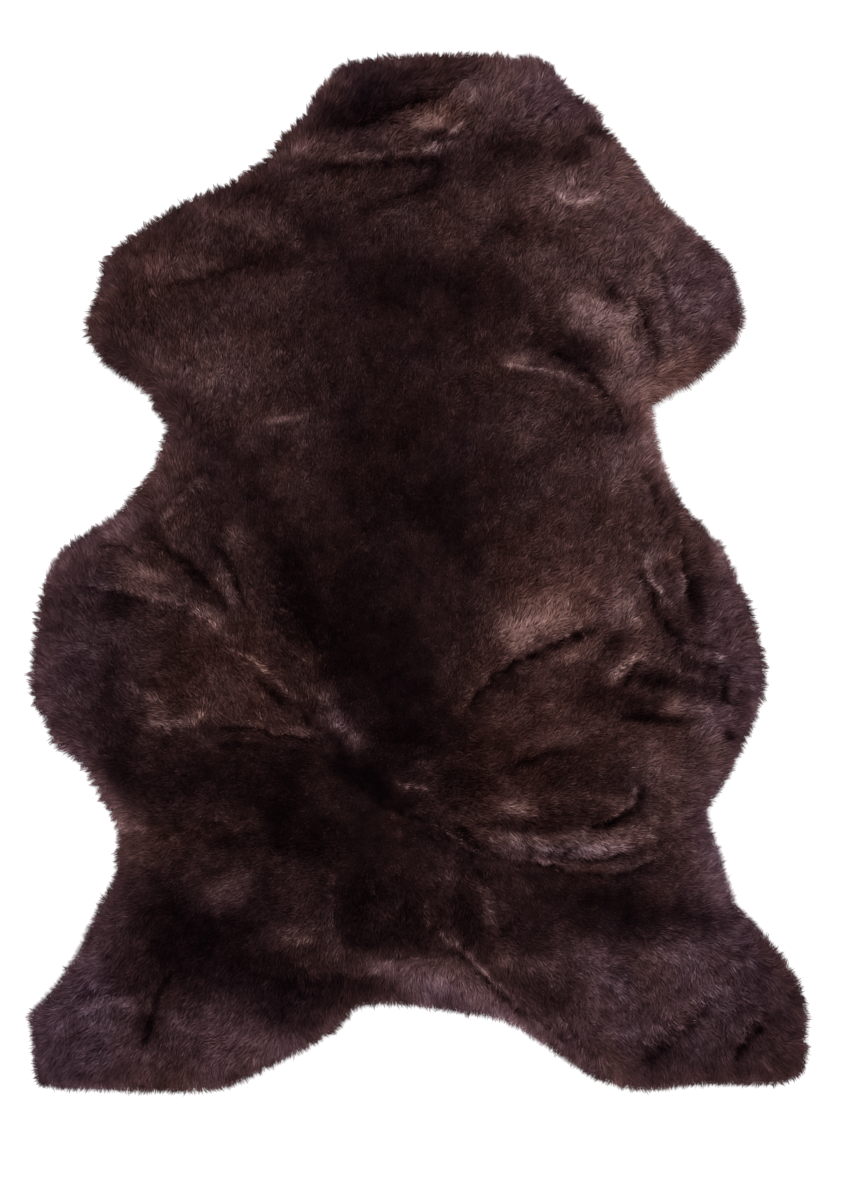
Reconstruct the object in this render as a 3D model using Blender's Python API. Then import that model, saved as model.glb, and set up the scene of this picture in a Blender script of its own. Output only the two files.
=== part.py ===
"""Sheepskin rug: one tanned skin with its clipped wool left on, lying flat with its neck towards +Y.

The skin is one piece, so it is one solid: a lumpy slab of wool with the hide's own outline, the folds
that a rolled-up skin keeps after it is laid out, and a lock of wool on every stretch of its rim.
The named sizes and the tables are in millimetres; the mesh is in metres, +Z up. The origin is on the
floor, in the middle of the rug's bounding box.
"""

import math
import random

import bmesh
import bpy
from mathutils import Vector, noise
from mathutils.geometry import delaunay_2d_cdt
from mathutils.kdtree import KDTree

MM = 0.001

# Height of the wool above the floor, and the width over which it rounds off to its rim.
PILE_HEIGHT = 23.0
RIM_HEIGHT = 9.5
SHOULDER = 38.0

# Locks of wool round the rim. Each tapers through one middle section to a point on the floor.
LOCK_COUNT = 292
LOCK_ROOT_INSET = 6.5
LOCK_SPACING_SPREAD = 0.3
LOCK_LENGTH_SPREAD = 0.4
LOCK_SWEEP = 0.55
LOCK_SWEEP_SPREAD = 0.1
LOCK_SWEEP_WAVE = 70.0
LOCK_MIDDLE = 0.5
LOCK_MIDDLE_SIZE = 0.66
LOCK_SEED = 7

# Spacing of the points on the wool's surface.
GRID_STEP = 15.5
GRID_CLEARANCE = 0.6
FOLD_STEP = 13.0
BANK_OFFSET = 12.0

# Unevenness of the wool all over, as (wavelength, height), and of the folds along their length.
RIPPLES = ((170.0, 5.0), (78.0, 4.0), (36.0, 2.4))
FOLD_RIPPLE_WAVE = 45.0
FOLD_RIPPLE = 0.55

# The edge of the wool, clockwise from the left corner of the neck: the stretch's name, how long its
# locks are, and its points as (x, y).
OUTLINE = (
    ("neck", 12, ((-80, 504), (-66, 512), (-38, 514), (2, 517), (40, 513), (66, 518), (84, 516),
                  (92, 509), (102, 514), (125, 510), (141, 493), (154, 475), (172, 462), (180, 446),
                  (208, 416), (228, 384))),
    ("right shoulder", 13, ((243, 366), (275, 337), (304, 306), (314, 284), (320, 254), (302, 219),
                            (267, 187), (232, 166))),
    ("right waist", 12, ((232, 148), (241, 110), (247, 92), (270, 58))),
    ("right flank", 15, ((300, 24), (321, -16), (334, -57), (341, -76), (341, -118), (334, -144),
                         (314, -186), (294, -224), (287, -242))),
    ("right hind leg", 10, ((291, -260), (307, -308), (319, -334), (357, -380), (384, -423),
                            (387, -448), (385, -465), (386, -484), (378, -501), (360, -511),
                            (330, -511), (297, -512), (262, -516), (232, -516), (196, -511),
                            (166, -500), (115, -466), (92, -451))),
    ("tail", 8, ((64, -442), (2, -432), (-33, -431), (-60, -433))),
    ("left hind leg", 10, ((-77, -446), (-126, -481), (-186, -510), (-218, -517), (-303, -516),
                           (-348, -516), (-378, -510), (-384, -486), (-389, -442), (-355, -403),
                           (-332, -353), (-304, -310), (-302, -284), (-300, -260))),
    ("left flank", 16, ((-310, -240), (-322, -214), (-362, -174), (-385, -124), (-388, -96),
                        (-381, -40), (-375, -12), (-362, 12), (-314, 47))),
    ("left waist", 13, ((-276, 88), (-255, 136), (-256, 152), (-266, 164))),
    ("left shoulder", 15, ((-272, 176), (-314, 206), (-331, 246), (-329, 266), (-320, 284),
                           (-315, 306), (-277, 341), (-228, 371), (-174, 400), (-152, 414),
                           (-144, 430), (-114, 457), (-107, 474))),
)

# Folds of the skin, each along its own line of (x, y) points. trough is the depth of the valley along
# the line, or a ridge's height where it is below zero. left and right are how high the skin is raised
# beside it, seen along the line, and reach is how far off the line that rise is highest.
FOLDS = (
    # name, trough, left, right, reach, line
    ("long flank fold", 8, 12, 2, 26, ((-304, 24), (-254, 10), (-214, -22), (-160, -73), (-114, -134),
                                      (-84, -168), (-39, -202), (0, -226))),
    ("belly fold", 8, 17, 0, 30, ((-60, -186), (-12, -222), (18, -250), (52, -280), (102, -294),
                                  (156, -298), (214, -286), (250, -262))),
    ("belly pleat", 7, 6, 3, 20, ((164, -256), (196, -256), (216, -244), (232, -222), (236, -200))),
    ("rump arc", 6, 11, 1, 30, ((22, -196), (34, -164), (52, -134), (90, -98), (136, -70), (200, -46))),
    ("rump pleat", 5, 5, 4, 18, ((166, -106), (194, -92), (216, -66), (226, -40))),
    ("upper flank fold", 7, 9, 2, 22, ((144, -98), (190, -104), (240, -114), (300, -112))),
    ("lower flank fold", 6, 7, 1, 22, ((176, -120), (222, -138), (262, -153), (316, -158))),
    ("flank edge fold", 7, 3, 7, 22, ((256, 26), (268, -4), (276, -38), (296, -72))),
    ("flank inner fold", 6, 6, 4, 20, ((226, 44), (228, 0), (240, -34), (262, -66))),
    ("left flank fold", 6, 9, 0, 26, ((-316, -138), (-270, -150), (-228, -154), (-170, -170),
                                      (-98, -180), (-50, -200))),
    ("left ridge", -8, 0, 0, 26, ((-310, -10), (-262, -22), (-216, -44), (-180, -84), (-160, -116))),
    ("left leg notch", 7, 6, 2, 22, ((-300, -252), (-262, -256), (-220, -252), (-184, -262))),
    ("neck fold", 7, 10, 1, 28, ((-152, 398), (-110, 404), (-60, 402), (0, 410), (66, 420), (122, 420),
                                 (176, 432))),
    ("neck parting", 5, 7, 4, 24, ((-50, 436), (-10, 446), (30, 462), (66, 484), (92, 504))),
    ("left shoulder fold", 6, 8, 1, 28, ((-288, 268), (-236, 288), (-190, 304), (-130, 320), (-80, 346),
                                         (-30, 368), (26, 386))),
    ("left chest fold", 4, 6, 1, 26, ((-196, 138), (-150, 150), (-104, 160), (-60, 152))),
    ("right shoulder fold", 7, 4, 6, 20, ((216, 312), (226, 282), (236, 244), (240, 204))),
    ("right shoulder pleat", 5, 4, 3, 18, ((240, 318), (250, 290), (260, 258), (266, 226))),
    ("armpit arc", 7, 2, 9, 24, ((52, 190), (88, 208), (128, 208), (166, 186), (200, 158), (226, 140))),
    ("tail step", 6, 8, -3, 26, ((-90, -370), (-50, -382), (-10, -384), (40, -380), (72, -400))),
    ("leg fold", 6, 7, 1, 24, ((30, -372), (62, -402), (90, -428), (128, -458), (170, -484))),
    ("left leg fold", 7, 5, 4, 22, ((-232, -384), (-248, -404), (-262, -430), (-278, -470))),
    ("right leg fold", 6, 4, 5, 22, ((290, -396), (256, -426), (222, -446), (196, -474))),
)

# Broad hollows and swellings of the skin.
SWELLINGS = (
    # name, x, y, half_x, half_y, turn in degrees, height
    ("armpit hollow", 152, 230, 46, 26, -20, -7),
    ("back", -60, 60, 150, 240, 0, 3),
    ("left flank swelling", -270, -90, 80, 60, -20, 5),
    ("rump swelling", 130, -20, 80, 45, 30, 6),
    ("belly swelling", 110, -230, 90, 40, 0, 6),
    ("loin hollow", -40, -120, 60, 90, 10, -4),
    ("left thigh hollow", -245, -346, 80, 60, 0, -4),
    ("left thigh swelling", -130, -300, 70, 40, 10, 4),
    ("right thigh hollow", 200, -334, 90, 34, 0, -5),
    ("neck swelling", -50, 470, 60, 34, 0, 5),
    ("right shoulder swelling", 220, 262, 50, 70, 20, 4),
    ("left shoulder swelling", -250, 230, 70, 60, 0, 4),
)

WOOL_COLOUR = (0.052, 0.030, 0.027, 1.0)
WOOL_ROUGHNESS = 0.85


def curve_through(knots, closed=False, step=2.0):
    """Points about a step apart on a Catmull-Rom curve through the knots."""
    count = len(knots)
    spans = count if closed else count - 1
    points = []
    for i in range(spans):
        near = [i - 1, i, i + 1, i + 2]
        if not closed:
            near = [min(max(k, 0), count - 1) for k in near]
        a, b, c, d = (Vector(knots[k % count]) for k in near)
        steps = max(2, round((c - b).length / step))
        for k in range(steps):
            t = k / steps
            points.append(0.5 * (2 * b + (c - a) * t + (2 * a - 5 * b + 4 * c - d) * t * t
                                 + (3 * b - a - 3 * c + d) * t ** 3))
    if not closed:
        points.append(Vector(knots[-1]))
    return points


def length_of(line):
    return sum((b - a).length for a, b in zip(line, line[1:]))


def points_along(line, distances):
    """The points at rising distances along a line."""
    found = []
    i = 0
    start = 0.0
    for distance in distances:
        while i < len(line) - 2 and start + (line[i + 1] - line[i]).length < distance:
            start += (line[i + 1] - line[i]).length
            i += 1
        share = (distance - start) / max((line[i + 1] - line[i]).length, 1e-9)
        found.append(line[i].lerp(line[i + 1], min(share, 1.0)))
    return found


def smoothstep(x):
    x = min(max(x, 0.0), 1.0)
    return x * x * (3 - 2 * x)


def inside(point, loop):
    """Whether a point is inside a closed loop."""
    crossings = 0
    for a, b in zip(loop, loop[1:] + loop[:1]):
        if (a.y > point.y) != (b.y > point.y):
            crossings += point.x < a.x + (b.x - a.x) * (point.y - a.y) / (b.y - a.y)
    return crossings % 2 == 1


class Fold:
    """A soft valley along a line, with the skin raised on one side of it or on both."""

    def __init__(self, name, trough, left, right, reach, line):
        self.name = name
        self.trough = trough
        self.left = left
        self.right = right
        self.reach = reach
        curve = curve_through(line)
        length = length_of(curve)
        steps = max(2, round(length / FOLD_STEP))
        self.points = points_along(curve, [length * k / steps for k in range(steps + 1)])

    def nearest(self, point):
        """The signed distance to the line, positive on its left, and the share of the way along it."""
        best, side, share = math.inf, 1.0, 0.0
        for i, (a, b) in enumerate(zip(self.points, self.points[1:])):
            step = b - a
            t = min(max((point - a).dot(step) / step.length_squared, 0.0), 1.0)
            away = point - a - step * t
            if away.length < best:
                best = away.length
                side = 1.0 if step.cross(away) >= 0 else -1.0
                share = (i + t) / (len(self.points) - 1)
        return side * best, share

    def height(self, point):
        """What the fold adds to the wool's height. It fades out towards both of its ends."""
        distance, share = self.nearest(point)
        fade = smoothstep(share / 0.35) * smoothstep((1 - share) / 0.35)
        fade *= 1 + FOLD_RIPPLE * noise.noise(point.to_3d() / FOLD_RIPPLE_WAVE)
        across = abs(distance) / self.reach
        bank = self.left if distance > 0 else self.right
        rise = bank * across * math.exp(0.5 * (1 - across * across))
        valley = self.trough * math.exp(-(2.2 * across) ** 2)
        return fade * (rise - valley)

    def bank_points(self):
        """Points on both sides of the valley, where the mesh follows the fold."""
        found = []
        last = len(self.points) - 1
        for i, point in enumerate(self.points):
            along = self.points[min(i + 1, last)] - self.points[max(i - 1, 0)]
            across = Vector((-along.y, along.x)).normalized() * BANK_OFFSET
            found.append(point + across)
            found.append(point - across)
        return found


def swelling_height(point, x, y, half_x, half_y, turn, height):
    """A soft hill, or a hollow where the height is below zero, with an elliptical foot."""
    away = point - Vector((x, y))
    angle = math.radians(turn)
    u = (away.x * math.cos(angle) + away.y * math.sin(angle)) / half_x
    v = (away.y * math.cos(angle) - away.x * math.sin(angle)) / half_y
    return height * math.exp(-(u * u + v * v))


def wool_height(point, rim_distance, folds):
    """The height of the wool above the floor at a point, which rounds off towards the rim."""
    rise = math.sin(0.5 * math.pi * min(rim_distance / SHOULDER, 1.0))
    height = RIM_HEIGHT + (PILE_HEIGHT - RIM_HEIGHT) * rise
    relief = sum(fold.height(point) for fold in folds)
    relief += sum(swelling_height(point, *row[1:]) for row in SWELLINGS)
    for wavelength, ripple in RIPPLES:
        relief += ripple * noise.noise(Vector((point.x, point.y, wavelength)) / wavelength)
    return max(height + relief * smoothstep(rim_distance / SHOULDER + 0.1), 0.7 * RIM_HEIGHT)


class Rim:
    """The line where the rim's locks are rooted, with each lock's outward direction and length."""

    def __init__(self, chance):
        knots = []
        lengths = []
        for _, lock_length, stretch in OUTLINE:
            knots += stretch
            lengths += [lock_length] * len(stretch)
        curve = curve_through(knots, closed=True)
        curve.append(curve[0])
        spacing = length_of(curve) / LOCK_COUNT
        spread = LOCK_SPACING_SPREAD
        distances = [(k + spread * chance.uniform(0, 1)) * spacing for k in range(LOCK_COUNT)]
        edge = points_along(curve, distances)
        self.normals = []
        self.lock_lengths = []
        self.points = []
        for i, point in enumerate(edge):
            along = edge[(i + 2) % LOCK_COUNT] - edge[i - 2]
            normal = Vector((-along.y, along.x)).normalized()
            nearest_knot = min(range(len(knots)), key=lambda k: (Vector(knots[k]) - point).length)
            self.normals.append(normal)
            self.lock_lengths.append(lengths[nearest_knot])
            self.points.append(point - normal * LOCK_ROOT_INSET)
        self.tree = KDTree(LOCK_COUNT)
        for i, point in enumerate(self.points):
            self.tree.insert(point.to_3d(), i)
        self.tree.balance()

    def distance(self, point):
        """How far a point is from the rim."""
        return self.tree.find(point.to_3d())[2]

    def stretch_of(self, face):
        """The index of the stretch of rim that a face stands on: the one whose middle is nearest."""
        middle = face.calc_center_median() / MM
        middle.z = 0
        near = [found[1] for found in self.tree.find_n(middle, 3)]
        stretches = near + [(i - 1) % LOCK_COUNT for i in near]
        return min(stretches, key=lambda i: ((self.points[i] + self.points[(i + 1) % LOCK_COUNT]) / 2
                                             - middle.xy).length)


def surface_points(rim, folds):
    """Points on the wool inside the rim: along the folds first, then an even grid between them."""
    found = []
    cells = {}
    cell = GRID_STEP

    def add(point, clearance):
        column, row = round(point.x / cell), round(point.y / cell)
        for near_column in (column - 1, column, column + 1):
            for near_row in (row - 1, row, row + 1):
                for other in cells.get((near_column, near_row), ()):
                    if (point - other).length < clearance:
                        return
        if inside(point, rim.points) and rim.distance(point) > clearance:
            cells.setdefault((column, row), []).append(point)
            found.append(point)

    for fold in folds:
        for point in fold.points:
            add(point, 0.5 * FOLD_STEP)
    for fold in folds:
        for point in fold.bank_points():
            add(point, 0.6 * FOLD_STEP)
    row_step = GRID_STEP * math.sin(math.radians(60))
    half_x = max(abs(point.x) for point in rim.points)
    half_y = max(abs(point.y) for point in rim.points)
    columns = math.ceil(half_x / GRID_STEP)
    rows = math.ceil(half_y / row_step)
    for row in range(-rows, rows + 1):
        for column in range(-columns, columns + 1):
            shift = 0.5 * (row % 2)
            add(Vector(((column + shift) * GRID_STEP, row * row_step)), GRID_CLEARANCE * GRID_STEP)
    return found


def add_wool_top(shape, rim, folds):
    """The wool's lumpy surface, triangulated inside the rim."""
    points = rim.points + surface_points(rim, folds)
    border = list(range(LOCK_COUNT))
    flat, _, triangles, *_ = delaunay_2d_cdt(points, [], [border], 1, 1e-4)
    verts = []
    for point in flat:
        height = wool_height(point, rim.distance(point), folds)
        verts.append(shape.verts.new(Vector((point.x, point.y, height)) * MM))
    for triangle in triangles:
        shape.faces.new([verts[i] for i in triangle])


def add_walls_and_underside(shape):
    """Drops the rim to the floor and closes the underside. Returns the walls."""
    open_edges = [edge for edge in shape.edges if edge.is_boundary]
    made = bmesh.ops.extrude_edge_only(shape, edges=open_edges)["geom"]
    walls = []
    for item in made:
        if isinstance(item, bmesh.types.BMVert):
            item.co.z = 0.0
        elif isinstance(item, bmesh.types.BMFace):
            walls.append(item)
    floor_edges = [edge for edge in shape.edges if edge.is_boundary]
    underside = bmesh.ops.contextual_create(shape, geom=floor_edges)["faces"]
    bmesh.ops.triangulate(shape, faces=underside)
    return walls


class Lock:
    """The way that one lock runs out over the floor from the wall it is rooted on."""

    def __init__(self, wall, rim, chance):
        stretch = rim.stretch_of(wall)
        following = (stretch + 1) % LOCK_COUNT
        corners = [vert.co.xy / MM for vert in wall.verts]
        self.root = sum(corners, Vector((0, 0))) / len(corners)
        normal, next_normal = rim.normals[stretch], rim.normals[following]
        self.outward = (normal + next_normal).normalized()
        self.sideways = Vector((self.outward.y, -self.outward.x))
        uneven = 1 + LOCK_LENGTH_SPREAD * chance.uniform(-1, 1)
        length = rim.lock_lengths[stretch] * uneven

        # In a hollow of the outline the neighbours lean together, which leaves less room.
        width = (rim.points[following] - rim.points[stretch]).length
        closing = normal.cross(next_normal)
        if closing > 0:
            length = min(length, 0.45 * width / closing)
        self.length = length
        self.sweep = LOCK_SWEEP * noise.noise(self.root.to_3d() / LOCK_SWEEP_WAVE)
        self.sweep += LOCK_SWEEP_SPREAD * chance.uniform(-1, 1)

    def at(self, share):
        """The middle of the lock at a share of its length, swept further aside towards the tip."""
        aside = self.sideways * self.sweep * share * share
        return self.root + (self.outward * share + aside) * self.length


def draw_out_lock(shape, wall, lock):
    """Draws a wall out to a tapering lock that lies on the floor."""
    middle = bmesh.ops.extrude_discrete_faces(shape, faces=[wall])["faces"][0]
    centre = lock.at(LOCK_MIDDLE)
    for vert in middle.verts:
        corner = centre + (vert.co.xy / MM - lock.root) * LOCK_MIDDLE_SIZE
        vert.co = Vector((corner.x * MM, corner.y * MM, vert.co.z * LOCK_MIDDLE_SIZE))
    end = bmesh.ops.extrude_discrete_faces(shape, faces=[middle])["faces"][0]
    tip = lock.at(1.0) * MM
    bmesh.ops.pointmerge(shape, verts=list(end.verts), merge_co=tip.to_3d())


def centre_on_origin(shape):
    """Moves the rug so that its bounding box is centred over the origin."""
    xs = [vert.co.x for vert in shape.verts]
    ys = [vert.co.y for vert in shape.verts]
    middle = Vector(((min(xs) + max(xs)) / 2, (min(ys) + max(ys)) / 2, 0))
    bmesh.ops.translate(shape, verts=shape.verts, vec=-middle)


def wool_material():
    material = bpy.data.materials.new("dark brown wool")
    material.use_nodes = True
    shader = material.node_tree.nodes["Principled BSDF"]
    shader.inputs["Base Color"].default_value = WOOL_COLOUR
    shader.inputs["Roughness"].default_value = WOOL_ROUGHNESS
    shader.inputs["Metallic"].default_value = 0.0
    material.diffuse_color = WOOL_COLOUR
    return material


def build_sheepskin():
    """The whole skin as one closed body."""
    chance = random.Random(LOCK_SEED)
    rim = Rim(chance)
    folds = [Fold(*row) for row in FOLDS]
    shape = bmesh.new()
    add_wool_top(shape, rim, folds)
    walls = add_walls_and_underside(shape)
    walls.sort(key=rim.stretch_of)
    for wall, lock in [(wall, Lock(wall, rim, chance)) for wall in walls]:
        draw_out_lock(shape, wall, lock)
    bmesh.ops.recalc_face_normals(shape, faces=shape.faces)
    centre_on_origin(shape)

    mesh = bpy.data.meshes.new("sheepskin")
    shape.to_mesh(mesh)
    shape.free()
    mesh.materials.append(wool_material())
    mesh.shade_smooth()
    mesh.set_sharp_from_angle(angle=math.radians(60))
    return bpy.data.objects.new("sheepskin", mesh)


def main():
    for thing in list(bpy.data.objects):
        bpy.data.objects.remove(thing)
    collection = bpy.data.collections.new("sheepskin")
    bpy.context.scene.collection.children.link(collection)
    collection.objects.link(build_sheepskin())


main()
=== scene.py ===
"""Sheepskin rug, dressed: a tanned hide, a dense undercoat and the clipped wool itself, strand by strand.

Working lengths are in millimetres in the row frame: origin on the floor under the middle of the rug,
x to the right, y towards the neck. The meshes are in metres.
"""

import math
from types import SimpleNamespace

import bpy
import numpy as np
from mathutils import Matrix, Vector
from mathutils.bvhtree import BVHTree
from mathutils.geometry import delaunay_2d_cdt


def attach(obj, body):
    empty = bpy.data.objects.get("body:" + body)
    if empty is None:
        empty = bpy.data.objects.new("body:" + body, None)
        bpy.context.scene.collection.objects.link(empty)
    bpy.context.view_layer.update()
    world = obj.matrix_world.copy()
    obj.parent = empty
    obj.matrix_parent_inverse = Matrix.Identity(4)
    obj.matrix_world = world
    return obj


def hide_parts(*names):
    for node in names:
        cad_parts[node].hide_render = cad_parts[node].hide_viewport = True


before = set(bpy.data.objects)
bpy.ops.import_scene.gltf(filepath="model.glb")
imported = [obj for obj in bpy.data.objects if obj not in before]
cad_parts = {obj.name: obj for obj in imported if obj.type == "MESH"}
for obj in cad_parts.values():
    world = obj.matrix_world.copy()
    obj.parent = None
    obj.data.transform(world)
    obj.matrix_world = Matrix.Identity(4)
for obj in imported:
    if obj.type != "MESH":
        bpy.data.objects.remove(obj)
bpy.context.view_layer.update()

MM = 0.001
MAP_MARGIN = 0.01
rng = np.random.default_rng(3)

# Picture frame: how much of y the camera takes in at floor height, and how high it hangs above the rug.
FRAME_HEIGHT = 1198.0
FRAME_CENTRE = (5.5, -23.7)
CAMERA_HEIGHT = 2600.0
SENSOR_HEIGHT = 24.0

# Light: a white surround, and two square softboxes by name, place in metres and power in watts.
SURROUND_COLOUR = (1.0, 0.99, 1.0, 1)
SURROUND_STRENGTH = 1.2
SOFTBOX_SIZE = 1.6
SOFTBOXES = (
    ("key softbox", (-1.1, 1.5, 2.3), 27),
    ("fill softbox", (1.4, -0.9, 2.2), 13),
)

# The floor, in metres. It lies a little below the hide, so that the two don't share a plane.
FLOOR_SIZE = 8.0
FLOOR_DROP = 0.0004

# The tanned skin and the dense wool just over it: how far inside the wool's edge they end, the size of
# their triangles, and their heights over the skin's underside. Under folds taller than FOLD_HEIGHT the skin
# rises by a share of what the fold is taller.
HIDE_INSET, HIDE_STEP, HIDE_THICKNESS = 7.0, 9.0, 1.8
UNDERCOAT_INSET, UNDERCOAT_STEP = 4.0, 6.0
UNDERCOAT_BOTTOM, UNDERCOAT_LEAST_TOP = 1.9, 3.2
UNDERCOAT_SHARE = 0.66
BUMP_HEIGHT = 1.2
BUMP_SIZES = ((3.1, 7.3), (3.7, 8.1))
# The undercoat is drawn darker than the wool over it, a painted shade under the strands.
UNDERCOAT_SHADE_TONE = -6.0
FOLD_HEIGHT, FOLD_LIFT = 24.0, 0.6

# Triangles of these layers: their rows, how near to each other two points of the border may come and how
# near to it a point inside may come, all as shares of a step. The border moves inwards in a few rounds.
ROW_SHARE = 0.87
BORDER_GAP, BORDER_CLEARANCE = 0.35, 0.6
BORDER_BLUR, BORDER_ROUNDS = 4.0, 4

# The wool's surface: it is read off the solid further inside the rim than SURFACE_INSET and smoothed, spread
# outwards in rounds, and rounded off to the floor from ROUND_FROM on, over ROUND_WIDTH.
SURFACE_INSET, SURFACE_BLUR = 9.0, 6.0
SPREAD_REACH, SPREAD_ROUNDS = 4.0, 6
ROUND_FROM, ROUND_WIDTH, ROUND_POWER = -7.0, 17.0, 0.7
RAY_START = 0.3

# Strands: how many, the pieces they make up from tail to neck, and their size in mm.
STRANDS = 440000
FLEECE_PIECES = ("fleece_hind_legs", "fleece_thighs", "fleece_flanks", "fleece_back", "fleece_shoulders")
STRAND_LENGTH = 12.5
RIM_STRAND_LENGTH = 15.5
STRAND_WIDTH = 0.93
WIDTH_RANGE = (0.75, 1.25)
RIM_NARROWER = 0.25
LENGTH_RANGE = (0.78, 1.12)
TWIST = 1.1
ROOT_INSET = 3.0

# A strand bends at these shares of the way from its root to its tip, along and up, and higher at the rim.
BEND_ALONG, BEND_UP, RIM_BEND_UP = 0.42, 0.62, 1.5

# Heights in mm: of the tips over the wool's surface, of the roots below the undercoat's, of the lowest
# roots and tips. A tip that leans over stays under a share of the surface's height there.
TIP_SPREAD = (-2.2, 0.8)
ROOT_DEPTH = 1.0
LOWEST_ROOT = 2.0
LOWEST_TIP = (0.4, 2.0)
TIP_SHARE = (0.75, 1.02)
TIP_MARGIN = 0.3

# Tufts of strands: their spacing, how much their tips are drawn together, and how much their lengths differ.
CLUMP_SPACING = 6.5
CLUMP_SPAN = (1000, 1200)
CLUMP_JITTER = (0.1, 0.9)
CLUMP_PULL = 0.1
RIM_CLUMP_PULL = 0.6
CLUMP_LENGTH = 0.07

# Wisps past the rim: how long, how wide, how deep the gaps between them, how much they differ from tuft to
# tuft, how full they are, how much less their strands stray, and how softly the values of the table blend.
WISP_LENGTH = 12.0
WISP_WIDTH = 5.5
WISP_GAP = 2.6
WISP_MEAN, WISP_SPREAD, WISP_LIMIT = 0.25, 0.45, 1.1
WISP_FILL = (0.1, 1.0)
WISP_STEADY = 0.5
WISP_BLEND = 50.0

# A few single strands reach further than the others, by RIM_FADE on average, less a margin.
RIM_FADE = 2.0
RIM_MARGIN = 0.5

# How far in from the rim the wool still leans outwards, and is still turned outwards. Outwards is read off
# the blurred rim.
RIM_WIDTH = 31.0
RIM_TURN_WIDTH = 19.0
RIM_SLOPE_BLUR = 8.0

# How much the combed direction strays, in radians: tuft by tuft and strand by strand, and in broad waves
# of a size in mm.
CLUMP_TURN, STRAND_TURN = 0.18, 0.26
CLUMP_WAVE, CLUMP_WAVE_SIZE = 0.25, 30
STRAND_WAVE, STRAND_WAVE_SIZE = 0.2, 14
COMB_BLEND = 40.0

# How much the lean strays, in degrees, its limits, and how creases stand the wool up and shorten it.
CLUMP_LEAN, STRAND_LEAN = 3, 6
LEAN_LIMITS = (4, 82)
CREASE_DEPTH = 8.0
CREASE_UPRIGHT, CREASE_SHORTER = 0.7, 0.3
CREASE_FLOOR = 0.45

# Tones run from 0, the darkest wool, to 100, the palest tips, and carry painted light and shade as well as
# the wool's own tone. Leans are degrees from upright.
BASE_TONE = 44.1
CONTRAST = 1.05
# Over the rim band: a little painted shade in the tone, and a violet-grey painted sheen in the hue.
RIM_SHADE_TONE = -1.0
RIM_SHEEN_HUE = 8.0
# At the very edge a painted sheen: a paler, more violet band where the fibres lean out into the light, how
# wide it is, and how far outside the rim it starts to fade.
FRINGE_SHEEN_TONE = 7.0
FRINGE_SHEEN_HUE = 16.0
FRINGE_WIDTH, FRINGE_OUTSIDE = 7.0, 2.0
STRAND_TONE = 4.5
CLUMP_TONE = 2.5
# Along each strand from root to tip: darker at the root, a painted shade deep in the pile, and paler at the
# tip.
TONES_ALONG_STRAND = (-6, 0, 0, 4)
TONE_SPREAD = 0.45
MOST_RUFFLE = 1.2
STRAND_HUE = 12
HUE_WAVE, HUE_WAVE_SIZE = 12, 40
RIM_LEAN = 70.0

# Patches fade out by this power, and are left out beyond so many half sizes.
PATCH_POWER, PATCH_REACH = 1.2, 1.8

# Uneven wool: size across in mm, change of tone.
MOTTLE = ((12, 1.3), (28, 2.0), (70, 1.2))

# How far a drawn line strays, in mm, how unevenly it breaks up into tufts, and how much more its strands
# differ from each other for each tone that it adds.
LINE_WOBBLE, LINE_WOBBLE_SIZE = 1.1, 9
LINE_TUFTS, LINE_TUFT_SIZE = 0.3, 7
LINE_TUFT_LIMITS = (0.2, 1.9)
LINE_RUFFLE = 0.06

# Lines: the spacing of their points, how many reaches they are drawn out to, the share of them that fades
# at each end, the share of their lean that the wool takes up, and the reach of their creases.
LINE_STEP = 8.0
LINE_REACH = 2.5
LINE_FADE = 0.25
LINE_LEAN = 0.5
LINE_CREASE_REACH = 3.5

# The edge of the wool in named stretches, clockwise from the left corner of the neck. A smooth curve
# runs through the points.
OUTLINE = (
    # name, points (x, y)
    ("neck", ((-78, 510), (-38, 517), (6, 521), (53, 520), (83, 520), (91, 513), (103, 519), (128, 513),
        (143, 495), (159, 478), (179, 465), (184, 449))),
    ("right shoulder", ((199, 434), (224, 402), (245, 371), (276, 343), (307, 314), (316, 298), (326, 258),
        (323, 243), (312, 223), (279, 192), (254, 178), (234, 165))),
    ("right waist", ((236, 147), (245, 110), (262, 72), (289, 41), (303, 27), (312, 10))),
    ("right flank", ((329, -26), (341, -64), (347, -90), (347, -119), (335, -155), (320, -187), (305, -217),
        (295, -230), (289, -246))),
    ("right hind leg", ((299, -275), (311, -316), (320, -336), (335, -352), (363, -384), (384, -418),
        (390, -446), (388, -468), (391, -479), (385, -504), (371, -513), (350, -517), (285, -516),
        (224, -522), (191, -515), (168, -505), (118, -471), (95, -457), (73, -448))),
    ("tail", ((48, -445), (19, -440), (-18, -436), (-48, -436), (-65, -440), (-80, -457))),
    ("left hind leg", ((-105, -475), (-157, -502), (-191, -518), (-223, -523), (-269, -523), (-342, -521),
        (-375, -519), (-385, -515), (-389, -492), (-390, -467), (-393, -448), (-385, -436), (-370, -421),
        (-343, -381), (-323, -336), (-306, -306))),
    ("left flank", ((-306, -285), (-303, -260), (-311, -246), (-328, -213), (-337, -198), (-352, -185),
        (-371, -170), (-375, -152), (-388, -134), (-391, -109), (-387, -64), (-379, -17), (-364, 17),
        (-350, 30), (-314, 52), (-306, 57))),
    ("left waist", ((-293, 72), (-270, 102), (-259, 132), (-253, 146), (-267, 161), (-272, 178),
        (-297, 193))),
    ("left shoulder", ((-317, 208), (-327, 223), (-335, 238), (-336, 253), (-323, 285), (-317, 314),
        (-281, 344), (-233, 374), (-195, 388), (-169, 406), (-151, 418), (-142, 434), (-112, 465),
        (-107, 479), (-93, 495))),
)

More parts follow.
